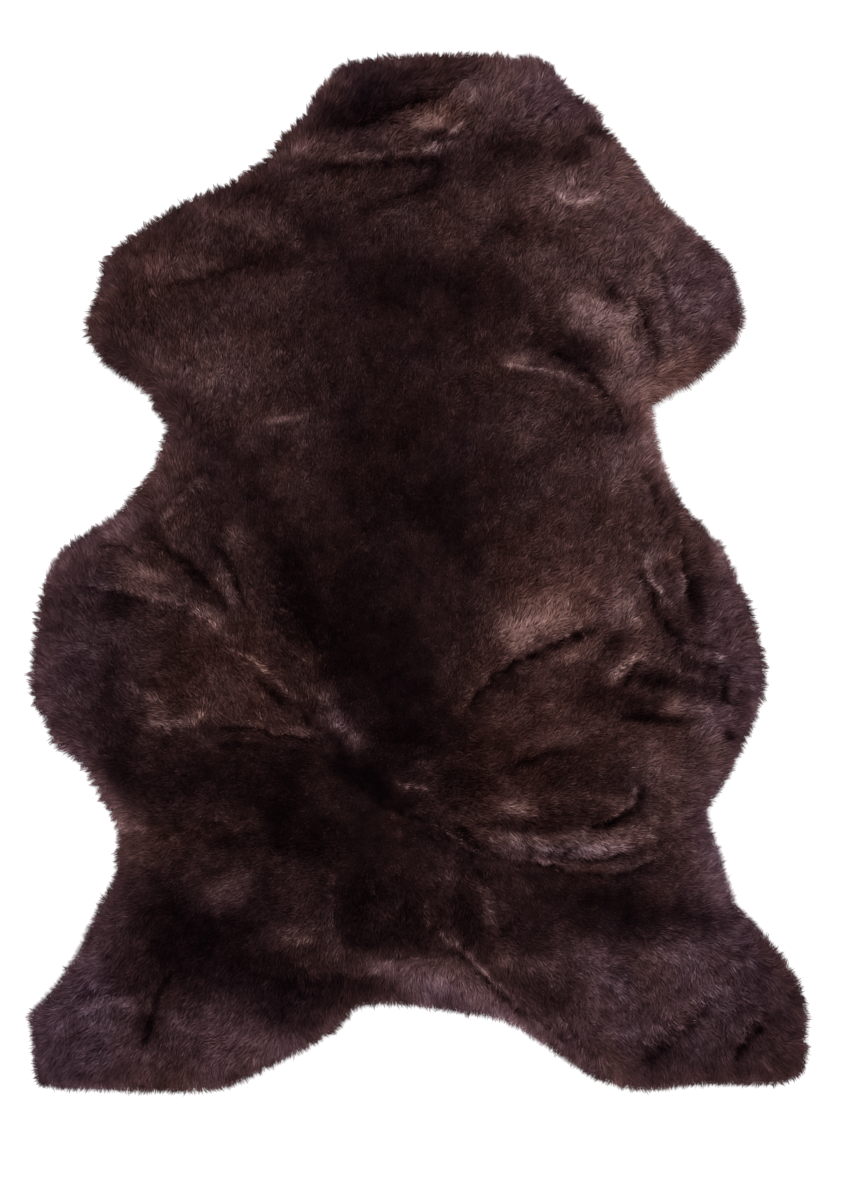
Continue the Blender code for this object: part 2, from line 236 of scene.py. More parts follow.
# Which way the wool is combed: places on the rug, the direction in degrees counted from +x towards
# +y, and how far it leans there.
COMB = (
    # name, x, y, direction, lean
    ("neck", 0, 470, 40, 25),
    ("neck, right", 110, 470, 58, 30),
    ("nape", 0, 380, 46, 22),
    ("left shoulder", -220, 260, 92, 24),
    ("right shoulder", 230, 270, 42, 26),
    ("withers", -20, 280, 68, 16),
    ("chest on the left", -180, 120, 88, 21),
    ("chest on the right", 180, 120, 50, 24),
    ("back", -10, 60, 80, 16),
    ("back, low", -10, -60, 72, 14),
    ("left flank", -280, -60, 135, 27),
    ("left flank, inner", -170, -40, 108, 25),
    ("rump", 120, -20, 50, 30),
    ("right flank", 300, -70, 27, 34),
    ("right thigh", 110, -150, 46, 25),
    ("belly", 130, -230, 30, 24),
    ("left thigh", -170, -250, 185, 20),
    ("left hind leg", -270, -420, 232, 29),
    ("tail", 10, -410, 268, 38),
    ("right hind leg", 250, -420, 296, 29),
    ("right hip", 230, -320, 12, 21),
    ("neck wisps", 40, 498, 42, 42),
    ("neck, right edge", 185, 440, 28, 38),
    ("belly fold", 115, -272, 302, 30),
)

# How much the rim ends in separate wisps: 0 for a smooth edge, 1 for many of them.
RIM_WISPS = (
    # name, x, y, wisps
    ("neck, left corner", -90, 500, 0.5),
    ("neck, top", 0, 520, 0.9),
    ("neck, right corner", 110, 518, 0.3),
    ("neck, right side", 180, 455, 1.0),
    ("nape, right", 240, 380, 0.5),
    ("right shoulder, top", 290, 330, 0.3),
    ("right shoulder", 325, 250, 0.15),
    ("right shoulder, low", 270, 185, 0.1),
    ("right waist", 245, 110, 0.5),
    ("right flank, top", 290, 40, 0.8),
    ("right flank", 345, -100, 0.9),
    ("right flank, low", 315, -200, 0.5),
    ("right hip", 292, -260, 0.2),
    ("right thigh", 330, -350, 0.1),
    ("right hind leg", 385, -440, 0.3),
    ("right foot", 380, -500, 0.6),
    ("right leg, bottom", 280, -516, 0.15),
    ("right leg, inner", 130, -480, 0.1),
    ("tail", 20, -440, 0.3),
    ("tail, left", -90, -465, 0.5),
    ("left leg, inner", -150, -500, 0.3),
    ("left leg, bottom", -280, -522, 0.15),
    ("left foot", -390, -480, 0.2),
    ("left thigh", -340, -380, 0.15),
    ("left hip", -305, -290, 0.5),
    ("left flank, low", -330, -215, 0.8),
    ("left flank", -390, -100, 1.0),
    ("left flank, top", -350, 30, 0.6),
    ("left waist", -270, 110, 0.7),
    ("left shoulder, low", -290, 195, 0.4),
    ("left shoulder", -335, 250, 0.9),
    ("left shoulder, top", -280, 345, 1.0),
    ("nape, left", -170, 405, 1.0),
    ("neck, left side", -115, 460, 0.8),
)

# Painted light and shade, part by part of the rug: patches where the wool's tone is paler, a painted
# highlight or sheen on rises and where the wool leans, or darker, a painted shade in hollows, creases and
# under folds, mixed with some of the wool's own uneven tone; and how much more the wool leans there. The
# large ones of a part come first.
LIGHT_AND_SHADE_PATCHES = (
    # part, (name, x, y, half_x, half_y, turn, tone, lean)
    ("neck", (
        ("right side", 108, 478, 60, 38, 0, 12, 6), ("lump", -52, 473, 50, 30, 8, -16, 0),
        ("top wisps", 22, 508, 30, 9, 10, -6, 5), ("curls", 13, 449, 17, 10, 20, 22, 8),
        ("curls on the left", -45, 431, 48, 9, 0, 6, 10), ("hollow", 93, 425, 22, 20, 0, -10, -4),
        ("corner", 180, 440, 11, 7, -20, -12, 0), ("left corner", -80, 488, 28, 18, 0, 13, 4),
        ("left side", -116, 426, 18, 12, 20, 13, 6), ("panel edge", 50, 473, 18, 10, 15, 11, 8),
        ("curls, low", 30, 440, 30, 8, 0, 4, 6), ("right edge light", 186, 414, 22, 24, 30, 7, 5),
        ("lump, low left", -92, 456, 16, 12, 10, -10, 0), ("top, middle", 8, 496, 60, 10, 3, -6, 0),
        ("curls, right", 12, 424, 20, 7, 0, 11, 6), ("curls, left", -14, 447, 15, 8, 20, 12, 6),
        ("curls, around", 10, 450, 32, 14, 15, 7, 5), ("pocket", 19, 432, 12, 7, 0, -22, 0),
        ("lip spot", -58, 417, 20, 4, 0, 9, 3), ("band shade", -64, 446, 44, 9, 4, -10, 0),
        ("middle right", 120, 448, 26, 14, 0, 7, 0), ("side spot", 155, 422, 12, 9, 0, -5, 0),
        ("middle spot", 118, 471, 16, 11, 0, -7, 0), ("right shade", 166, 418, 36, 9, 0, -8, 0),
        ("lip shade", -32, 418, 15, 7, 0, -9, 0), ("band, dark end", -6, 467, 13, 7, 0, -10, 0),
    )),
    ("nape", (
        ("spot on the left", -96, 335, 22, 18, 0, -13, 0),
        ("edge on the left", -180, 376, 38, 12, 12, -13, 0),
        ("spot on the right", 88, 342, 8, 6, 0, -10, 0), ("all over", 104, 374, 46, 17, 0, 7, 3),
        ("right light", 160, 388, 56, 26, 0, 9, 6), ("middle shade", 15, 397, 17, 16, 0, -8, 0),
        ("shade, low", -46, 334, 24, 11, 0, -8, 0), ("light, inner", 68, 364, 14, 12, 0, 8, 0),
        ("curl, wide light", 155, 366, 44, 24, 0, 6, 3), ("right shade", 148, 411, 24, 12, -20, -6, 0),
        ("small left light", -74, 332, 9, 14, 0, 6, 0), ("low light", -22, 357, 18, 9, 0, 6, 0),
        ("low left shade", -112, 347, 15, 9, 0, -7, 0),
    )),
    ("withers", (
        ("all over", 30, 278, 96, 30, -5, -12, -4), ("right of the withers", 120, 300, 26, 18, 0, 4, 3),
        ("right of the withers, high", 134, 336, 18, 14, 0, -10, 0),
        ("top light", 26, 328, 38, 14, 0, 7, 0), ("spot", 20, 270, 22, 14, 0, 7, 0),
        ("shade", -38, 262, 20, 12, 0, -6, 0), ("middle spot", 0, 300, 9, 26, 0, -7, 0),
    )),
    ("left shoulder", (
        ("all over", -210, 280, 90, 80, 0, 4, 4), ("shade", -150, 309, 42, 13, 12, -13, 0),
        ("low light", -195, 200, 46, 34, 10, 9, 5), ("rim", -296, 238, 32, 50, 12, -8, 0),
        ("grey spot", -217, 363, 14, 9, -40, 7, 4), ("light", -264, 302, 28, 12, 10, 6, 5),
        ("top edge", -255, 342, 24, 13, 30, -5, 0), ("streak", -140, 151, 22, 4, 8, 18, 6),
        ("top light", -170, 350, 40, 12, 0, 6, 4), ("streak, wide", -135, 156, 26, 10, 0, 4, 4),
        ("high shade", -276, 318, 20, 7, -10, -10, 0), ("middle shade", -222, 303, 24, 10, 40, -7, 0),
        ("tip spot", -284, 312, 9, 6, 30, 6, 0), ("middle light", -160, 263, 16, 9, 0, 7, 0),
    )),
    ("right shoulder", (
        ("all over", 232, 290, 100, 100, 0, 12, 6), ("low", 228, 200, 56, 34, 0, 5, 5),
        ("inner light", 168, 265, 28, 20, -20, 15, 6), ("outer", 255, 262, 32, 46, 0, 9, 5),
        ("lower edge", 236, 188, 44, 16, 20, 8, 5), ("seam", 186, 352, 22, 8, -18, -6, 0),
        ("seam, low", 214, 324, 11, 19, 10, -7, 0), ("outer shade", 270, 290, 28, 13, 8, -9, 0),
        ("outer spot", 254, 250, 8, 18, 0, -8, 0), ("low shade", 234, 193, 26, 6, 0, -6, 0),
        ("inner spot", 190, 270, 8, 14, 0, -8, 0), ("high spot", 194, 310, 18, 7, 0, -7, 0),
        ("low light", 242, 220, 10, 14, 0, 6, 0), ("middle shade", 186, 292, 12, 18, 0, -7, 0),
        ("outer dark spot", 262, 282, 9, 8, 0, -8, 0), ("inner shade", 118, 328, 24, 9, 10, -5, 0),
        ("high light", 222, 341, 10, 14, 0, 6, 0), ("rim shade", 280, 315, 9, 9, 0, -7, 0),
    )),
    ("armpit", (
        ("all over", 160, 222, 36, 12, -26, -17, -6), ("spot", 97, 211, 15, 6, 0, 15, 12),
        ("outer light", 198, 236, 18, 28, 10, 14, 5), ("inner light", 95, 246, 36, 12, 0, 6, 0),
        ("lip, left", 50, 203, 16, 6, 0, 9, 3), ("top spot", 124, 236, 12, 12, 0, -8, 0),
        ("top light", 134, 263, 20, 7, 0, 7, 0), ("under the armpit lip", 105, 188, 12, 9, 0, 7, 0),
        ("low", 160, 206, 18, 8, -20, -11, 0),
    )),
    ("left waist", (
        ("all over", -256, 90, 16, 34, 0, 3, 3), ("inner shade", -208, 135, 18, 16, 0, -7, 0),
        ("strip", -230, 168, 38, 13, -42, -7, 0), ("top light", -288, 32, 16, 12, 0, 7, 0),
        ("inner light", -238, 110, 12, 12, 0, 7, 0), ("inner spot", -212, 96, 10, 10, 0, -7, 0),
        ("low light", -244, 56, 8, 12, 0, 7, 0),
    )),
    ("right waist", (
        ("all over", 236, 100, 28, 60, 0, 11, 6), ("light", 190, 104, 44, 26, 0, 8, 3),
        ("edge", 230, 146, 9, 26, 0, 8, 3), ("high light", 210, 172, 14, 9, 0, 6, 0),
        ("high shade", 194, 145, 20, 12, 0, -7, 0), ("dark strip", 233, 82, 6, 18, 15, -9, 0),
    )),
    ("back", (
        ("all over", -20, 70, 85, 160, 0, -9, -6), ("low", -25, -30, 70, 60, 0, -1, -2),
        ("flank edge of the back", -125, 5, 22, 48, 10, -11, -4),
        ("left light", -112, 136, 36, 32, 0, 8, 2), ("right light", 98, 148, 44, 26, 0, 8, 2),
        ("middle right shade", 28, 60, 28, 46, 0, -7, -2), ("low light", 0, 22, 34, 24, 0, 8, 2),
        ("top light", 8, 180, 40, 22, -35, 6, 0), ("right shade", 108, 46, 24, 16, 0, -7, 0),
        ("chest on the left", -172, 82, 20, 42, 15, -8, 0),
        ("chest, left light", -124, 84, 24, 13, 0, 9, 0), ("shade", -6, 128, 32, 15, 0, -7, 0),
        ("shade, low", -38, 58, 26, 14, 0, -7, 0), ("chest, left spot", -196, 194, 22, 11, 0, 6, 0),
        ("low right light", 126, 12, 20, 17, 0, 7, 0), ("right spot", 122, 84, 16, 12, 0, 7, 0),
        ("low left shade", -72, 2, 34, 26, 0, -5, 0), ("low middle light", -20, -20, 26, 20, 0, 6, 0),
        ("right light, low", 150, 52, 44, 34, 0, 4, 0), ("right light spot", 98, 132, 18, 18, 0, 7, 0),
        ("left back shade", -145, 120, 26, 16, 0, -5, 0),
    )),
    ("loin", (
        ("all over", -15, -125, 48, 80, 15, -10, -6), ("left", -80, -78, 26, 50, 20, -9, -4),
        ("far left", -122, -52, 26, 60, 14, -9, -2), ("low", -20, -168, 44, 36, 0, -11, -4),
        ("right light", 24, -92, 14, 26, -25, 9, 0), ("low light", -2, -180, 14, 8, 0, 8, 0),
        ("light", -48, -142, 20, 22, 0, 6, 0),
    )),
    ("left flank", (
        ("all over", -330, -60, 62, 95, 0, 5, 5), ("left inner flank", -190, -118, 76, 34, -15, 6, 5),
        ("underneath", -180, -206, 110, 31, 0, -15, -4), ("hollow", -304, -36, 32, 12, 5, -14, -5),
        ("fan", -275, 0, 26, 8, -20, 6, 8), ("wisp", -283, 20, 5, 4, 0, 16, 4),
        ("dark behind the ridge", -222, -8, 18, 12, -45, -11, -4),
        ("dark at the waist", -266, 38, 14, 12, 0, -8, -2), ("hook", -275, -143, 6, 5, 0, -14, 0),
        ("low dark", -300, -182, 18, 26, 0, -13, -3), ("left notch", -290, -255, 16, 8, 0, 10, 8),
        ("left notch shadow", -268, -250, 12, 6, 0, -10, 0),
        ("under the left notch", -268, -276, 36, 12, 0, 5, 4), ("V, top", -186, 36, 14, 12, 0, 9, 6),
        ("top edge light", -306, 42, 24, 12, 35, 13, 5), ("outer shade", -311, -128, 16, 36, 10, -9, -3),
        ("V, light", -176, 28, 14, 18, 0, 8, 0), ("ridge, above", -232, -13, 20, 9, -30, 10, 0),
        ("core shade", -236, -72, 32, 24, -25, -6, 0), ("hook light", -260, -138, 15, 16, 0, 10, 4),
        ("lower light", -122, -160, 24, 8, 0, 9, 0), ("V, left", -206, 24, 12, 12, -40, -8, 0),
        ("pale tuft", -268, -3, 15, 5, -12, 11, 4), ("low left spot", -286, -156, 12, 12, 0, -12, 0),
        ("low rim", -325, -208, 50, 10, -52, 10, 3), ("inner light", -214, -58, 18, 18, 0, 7, 0),
        ("inner low light", -166, -102, 12, 9, 0, 9, 0), ("low spot", -290, -213, 14, 18, 0, -11, 0),
        ("low spot, right", -242, -226, 20, 12, -15, -8, 0),
        ("underneath spot", -164, -174, 26, 6, 0, -7, 0), ("outer spot", -360, -58, 12, 9, 0, -8, 0),
        ("above the ridge", -288, -30, 14, 7, 0, -8, 0),
        ("outer shade, high", -302, -78, 11, 32, 0, -6, 0),
        ("outer shade, spot", -282, -112, 12, 8, 0, -8, 0), ("V, top shade", -146, 50, 9, 15, 0, -7, 0),
        ("V, low shade", -155, -12, 8, 16, 0, -8, 0), ("inner edge light", -163, -90, 12, 8, 0, 6, 0),
        ("left notch rim", -303, -246, 9, 12, 0, 12, 0), ("rim", -379, -128, 10, 26, 20, 6, 0),
        ("rim, high", -362, 8, 10, 30, -35, 5, 0),
    )),
    ("long fold", (
        ("fluff on the fold", -92, -128, 9, 9, 0, 8, 6),
        ("fluff on the fold, low", -84, -150, 14, 6, -15, 3, 6),
        ("fluff shade", -80, -186, 15, 18, 0, -13, 0), ("dark end", -14, -231, 26, 8, -12, -9, 0),
        ("fluff, third", -72, -160, 9, 6, -20, 8, 5), ("fluff, fourth", -62, -169, 8, 8, -30, 12, 5),
        ("low spot", -20, -263, 4, 4, 0, 14, 0), ("fold lip shade", -78, -96, 24, 8, 5, -9, 0),
        ("fold lip light", -110, -92, 16, 16, 0, 9, 0), ("left shade", -70, -206, 26, 8, -35, -7, 0),
    )),
    ("rump", (
        ("all over", 116, -44, 54, 28, 28, 20, 22), ("high", 165, -8, 46, 34, 30, 5, 10),
        ("shadow", 198, -67, 15, 9, 10, -19, -5), ("under the arc", 162, -79, 30, 9, 28, 6, 8),
        ("outer", 208, -45, 26, 34, 0, 16, 12), ("arc light", 164, -50, 26, 9, 15, 8, 0),
        ("under the arc, left", 148, -88, 26, 10, 15, 9, 0), ("spot", 190, -78, 9, 11, 0, -11, 0),
        ("above the arc", 96, -76, 24, 8, 20, 7, 4), ("light, low", 96, -62, 18, 12, 30, 6, 6),
        ("right light", 160, -46, 20, 11, 40, 6, 0),
        ("under the arc, right light", 158, -77, 22, 8, 28, 6, 0),
        ("middle light", 135, -108, 12, 9, 0, 7, 0), ("low light", 88, -152, 12, 10, 0, 5, 0),
    )),
    ("right flank", (
        ("rim", 318, -40, 24, 74, 5, 8, 6), ("low", 250, -190, 44, 38, 0, 7, 5),
        ("shadow", 277, -30, 10, 28, 5, -22, -5), ("lower shadow", 256, -60, 16, 12, -40, -9, -4),
        ("spot edge", 313, -119, 4, 7, 0, 9, 3), ("spot, low", 310, -165, 5, 7, 35, -21, 0),
        ("fold peak", 194, -103, 11, 8, 20, 18, 5), ("band", 240, -109, 26, 9, -8, -20, -4),
        ("between bands", 254, -137, 12, 9, 0, 15, 5), ("band, low", 234, -148, 34, 6, -4, -21, -4),
        ("edge light", 298, -148, 18, 20, 0, 8, 5), ("V", 245, 12, 18, 20, 0, 3, 5),
        ("low right shade", 290, -122, 22, 10, 0, -6, 0), ("V, shade", 246, 2, 10, 9, 0, -9, 0),
        ("outer light", 288, -62, 11, 20, -10, 8, 0), ("shade between", 222, -139, 22, 12, 0, -12, 0),
        ("low outer shade", 272, -182, 22, 20, 0, -8, 0), ("tuft", 230, 12, 7, 9, 0, 14, 4),
        ("tuft, right", 248, 15, 9, 5, -10, 12, 4), ("low rim light", 298, -166, 24, 32, 0, 10, 3),
        ("band, outer", 280, -100, 22, 5, -8, -8, 0),
        ("light beyond the bands", 280, -135, 16, 12, 0, 7, 3), ("V, middle", 238, -12, 10, 14, -20, 9, 0),
        ("V, low", 262, -14, 7, 14, 0, 12, 0), ("low edge", 308, -168, 6, 9, 20, -9, 0),
        ("wide shade", 203, -132, 32, 14, 0, -6, 0), ("rim, low", 335, -134, 9, 16, 0, 14, 0),
        ("rim, top", 298, 22, 9, 22, 25, 9, 0),
    )),
    ("right thigh", (
        ("all over", 125, -145, 60, 40, 10, 6, 6), ("outer shade", 185, -126, 28, 12, 0, -9, 0),
        ("low light", 142, -166, 22, 11, 0, 11, 4), ("lower shade", 142, -126, 34, 10, 0, -7, 0),
        ("thigh, left shade", 72, -174, 48, 18, 0, -8, 0),
    )),
    ("belly", (
        ("all over", 110, -225, 70, 40, 0, 4, 5), ("under the belly", 165, -335, 88, 32, 0, -13, -4),
        ("shade", 150, -204, 56, 18, 0, -9, 0), ("light", 96, -235, 22, 7, -18, 15, 5),
        ("line", 104, -253, 46, 6, -3, -12, 0), ("light at the pleat", 198, -231, 15, 8, -10, 9, 3),
        ("grey at the pleat", 226, -254, 14, 9, 30, 5, 4),
        ("under the belly, core", 224, -352, 34, 18, 0, -8, 0),
        ("fold, right light", 195, -271, 44, 13, 15, 15, 12),
        ("light, right end", 122, -244, 10, 12, 0, -9, 0),
        ("fold, high light", 158, -262, 26, 9, 5, 13, 5), ("fold, low light", 184, -296, 24, 5, -5, 13, 3),
        ("under the belly, middle", 180, -329, 40, 12, 0, -9, 0),
        ("above the pleat", 150, -208, 60, 10, 0, -4, 0), ("fold, left light", 97, -268, 18, 7, -14, 6, 8),
        ("fold, end light", 222, -290, 26, 6, 14, 10, 3), ("right light", 72, -240, 20, 7, 10, 6, 0),
        ("under the belly fold", 90, -304, 60, 6, -4, -7, 0),
        ("dark at the pleat", 205, -265, 14, 8, 0, -9, 0),
        ("right of the pleat", 236, -204, 26, 17, 0, 7, 0),
        ("fold, dark gap", 142, -288, 20, 4, -6, -6, 0), ("crease spot", 102, -190, 12, 7, 0, -7, 0),
    )),
    ("crossing", (
        ("all over", 46, -212, 26, 20, 0, -12, -4), ("left", -50, -204, 26, 15, -30, -11, -4),
        ("light", 30, -186, 20, 9, -15, 4, 0), ("spot", 35, -236, 4, 6, 30, -18, 0),
        ("low spot", 14, -226, 12, 7, 0, -8, 0), ("right light", 36, -240, 18, 7, 0, 6, 0),
    )),
    ("left thigh", (
        ("all over", -228, -362, 72, 56, 20, -22, -6), ("inner", -120, -425, 62, 26, 15, -16, -4),
        ("spot", -130, -256, 34, 30, -20, -17, -4), ("patch", -198, -325, 30, 21, 10, 22, 10),
        ("rim", -315, -372, 18, 48, -20, 6, 4), ("light", -132, -365, 30, 12, 5, 9, 8),
        ("spot, low", -110, -282, 24, 16, 0, -10, 0), ("spot, high", -150, -238, 20, 14, 0, -8, 0),
        ("low", -150, -400, 46, 26, 0, -17, -3), ("top shade", -222, -254, 46, 15, -22, -12, 0),
        ("upper shade", -172, -270, 44, 11, 0, -8, 0), ("right shade", -150, -312, 16, 16, 0, -8, 0),
        ("low light", -108, -399, 26, 11, 0, 10, 0), ("left shade", -262, -345, 22, 56, 0, -4, 0),
        ("middle spot", -162, -358, 14, 10, 0, -7, 0),
    )),
    ("between the thighs", (
        ("above the tail", -20, -345, 75, 44, 0, -16, -5),
        ("middle of the thighs", -60, -258, 80, 40, -20, -7, -4),
        ("right of the thigh light", -66, -325, 17, 32, 0, -12, 0),
        ("above the tail, spot", -30, -344, 13, 9, 0, 11, 0),
        ("thighs, top light", -82, -235, 26, 11, 0, 7, 0),
        ("above the tail, low", -46, -371, 34, 9, 0, -8, 0), ("thigh spot", -84, -380, 9, 12, 20, 10, 0),
        ("thighs, right shade", -45, -320, 14, 14, 0, -6, 0),
    )),
    ("tail", (
        ("all over", 26, -412, 52, 24, -5, 15, 14), ("right", 82, -441, 32, 14, -35, 14, 14),
        ("left edge", -45, -414, 24, 14, 0, -9, 0), ("shadow", 46, -346, 13, 28, 10, -14, 0),
        ("left light", -42, -398, 32, 9, 0, 13, 8), ("top light", 28, -366, 13, 11, -20, 13, 6),
        ("right of the streak", 70, -342, 8, 18, 0, 6, 5), ("low shade", 16, -424, 28, 9, 0, -5, 0),
        ("right light", 84, -385, 12, 12, 0, 9, 0), ("right spot", 64, -383, 15, 11, 0, -10, 0),
        ("right high spot", 78, -359, 20, 7, 0, -6, 0), ("top left light", -12, -388, 14, 6, 0, 7, 0),
        ("top shade", 62, -364, 18, 14, 0, -6, 0),
    )),
    ("left hind leg", (
        ("outer", -330, -472, 62, 46, 0, 7, 6), ("all over", -200, -470, 60, 34, 0, 8, 6),
        ("blob", -273, -457, 10, 15, 0, -16, -3), ("inner light", -172, -474, 18, 20, 0, 7, 5),
        ("upper light", -287, -430, 13, 15, 0, 12, 0), ("bottom spot", -307, -503, 16, 11, 0, -9, 0),
        ("outer band", -336, -468, 40, 11, 0, -7, 0), ("inner rim", -112, -470, 34, 9, 32, 7, 0),
        ("low spot", -243, -483, 10, 8, 0, -10, 0), ("inner spot", -192, -484, 18, 9, 0, -6, 0),
        ("ridge light", -246, -444, 9, 16, 0, 8, 0), ("inner high light", -209, -436, 12, 10, 0, 6, 0),
        ("inner low light", -275, -290, 20, 8, 0, 7, 0),
    )),
    ("right hind leg", (
        ("all over", 245, -420, 95, 50, 0, 10, 6), ("right hip", 300, -305, 28, 48, 0, 10, 6),
        ("inner shade", 118, -412, 22, 14, -20, -5, 0), ("inner low shade", 130, -430, 20, 14, 0, -8, 0),
        ("shade at the hip", 290, -352, 24, 12, 0, -6, 0), ("outer shade", 330, -494, 40, 18, 10, -9, -3),
        ("right hip, inner", 262, -252, 22, 30, 0, 9, 5), ("inner light", 105, -393, 34, 9, 0, 7, 5),
        ("inner top light", 177, -388, 18, 28, 0, 9, 3), ("outer top light", 272, -386, 34, 30, 0, 6, 2),
        ("right foot", 368, -482, 14, 10, 0, 8, 0), ("top shade", 262, -366, 46, 8, 0, -6, 0),
        ("outer spot", 354, -458, 24, 18, 0, -6, 0), ("inner rim", 166, -494, 34, 9, -28, 7, 0),
        ("high spot", 236, -396, 14, 9, 0, -8, 0), ("middle light", 215, -462, 32, 7, 5, 7, 0),
        ("low shade", 246, -488, 26, 12, 20, -6, 0), ("top light", 268, -370, 22, 8, 0, 7, 0),
        ("high left spot", 199, -400, 13, 10, 0, -10, 0),
        ("upper streak light", 200, -370, 20, 7, 0, 7, 0), ("middle shade", 232, -431, 18, 6, 25, -6, 0),
        ("ridge light", 284, -456, 14, 12, 40, 5, 0), ("high shade", 112, -372, 24, 12, 0, -5, 0),
        ("inner curve shade", 150, -430, 30, 9, -20, -5, 0),
    )),
)

# Where the wool is more violet than elsewhere, partly a violet-grey painted sheen where the fibres lean on
# the flanks, legs and rims and partly its own hue, or browner where hue is below zero.
SHEEN_AND_HUES = (
    # name, x, y, half_x, half_y, turn, hue
    ("left hind leg, outer", -345, -465, 70, 60, 0, 110),
    ("left hind leg, inner", -180, -460, 80, 50, 0, 65),
    ("left thigh rim", -320, -370, 30, 60, 0, 65),
    ("left thigh", -220, -370, 70, 50, 0, 50),
    ("right hind leg", 260, -430, 130, 80, 0, 60),
    ("right hip", 310, -320, 50, 90, 0, 60),
    ("tail", 20, -420, 70, 30, 0, 30),
    ("left flank", -340, -90, 60, 110, 0, 70),
    ("right flank", 320, -90, 50, 110, 0, 55),
    ("right shoulder", 290, 280, 60, 80, 0, 40),
    ("right shoulder, low edge", 262, 195, 40, 22, 30, -70),
    ("neck, right", 130, 475, 70, 40, 0, 40),
    ("neck lump", -50, 475, 50, 30, 0, 60),
    ("neck curls", 10, 455, 34, 18, 0, -60),
    ("belly fold edge", 130, -280, 80, 10, 0, 60),
    ("fold fluff", -84, -148, 40, 18, -45, 35),
    ("loin", -30, -110, 60, 90, 0, 25),
    ("belly", 120, -170, 110, 80, 0, -65),
    ("rump", 140, -10, 90, 60, 20, -45),
    ("left inner flank", -190, -110, 90, 60, 0, -45),
    ("under the left notch", -250, -270, 50, 20, 0, -40),
    ("left shoulder", -230, 300, 80, 40, 0, -20),
    ("back", -10, 40, 120, 160, 0, -5),
)
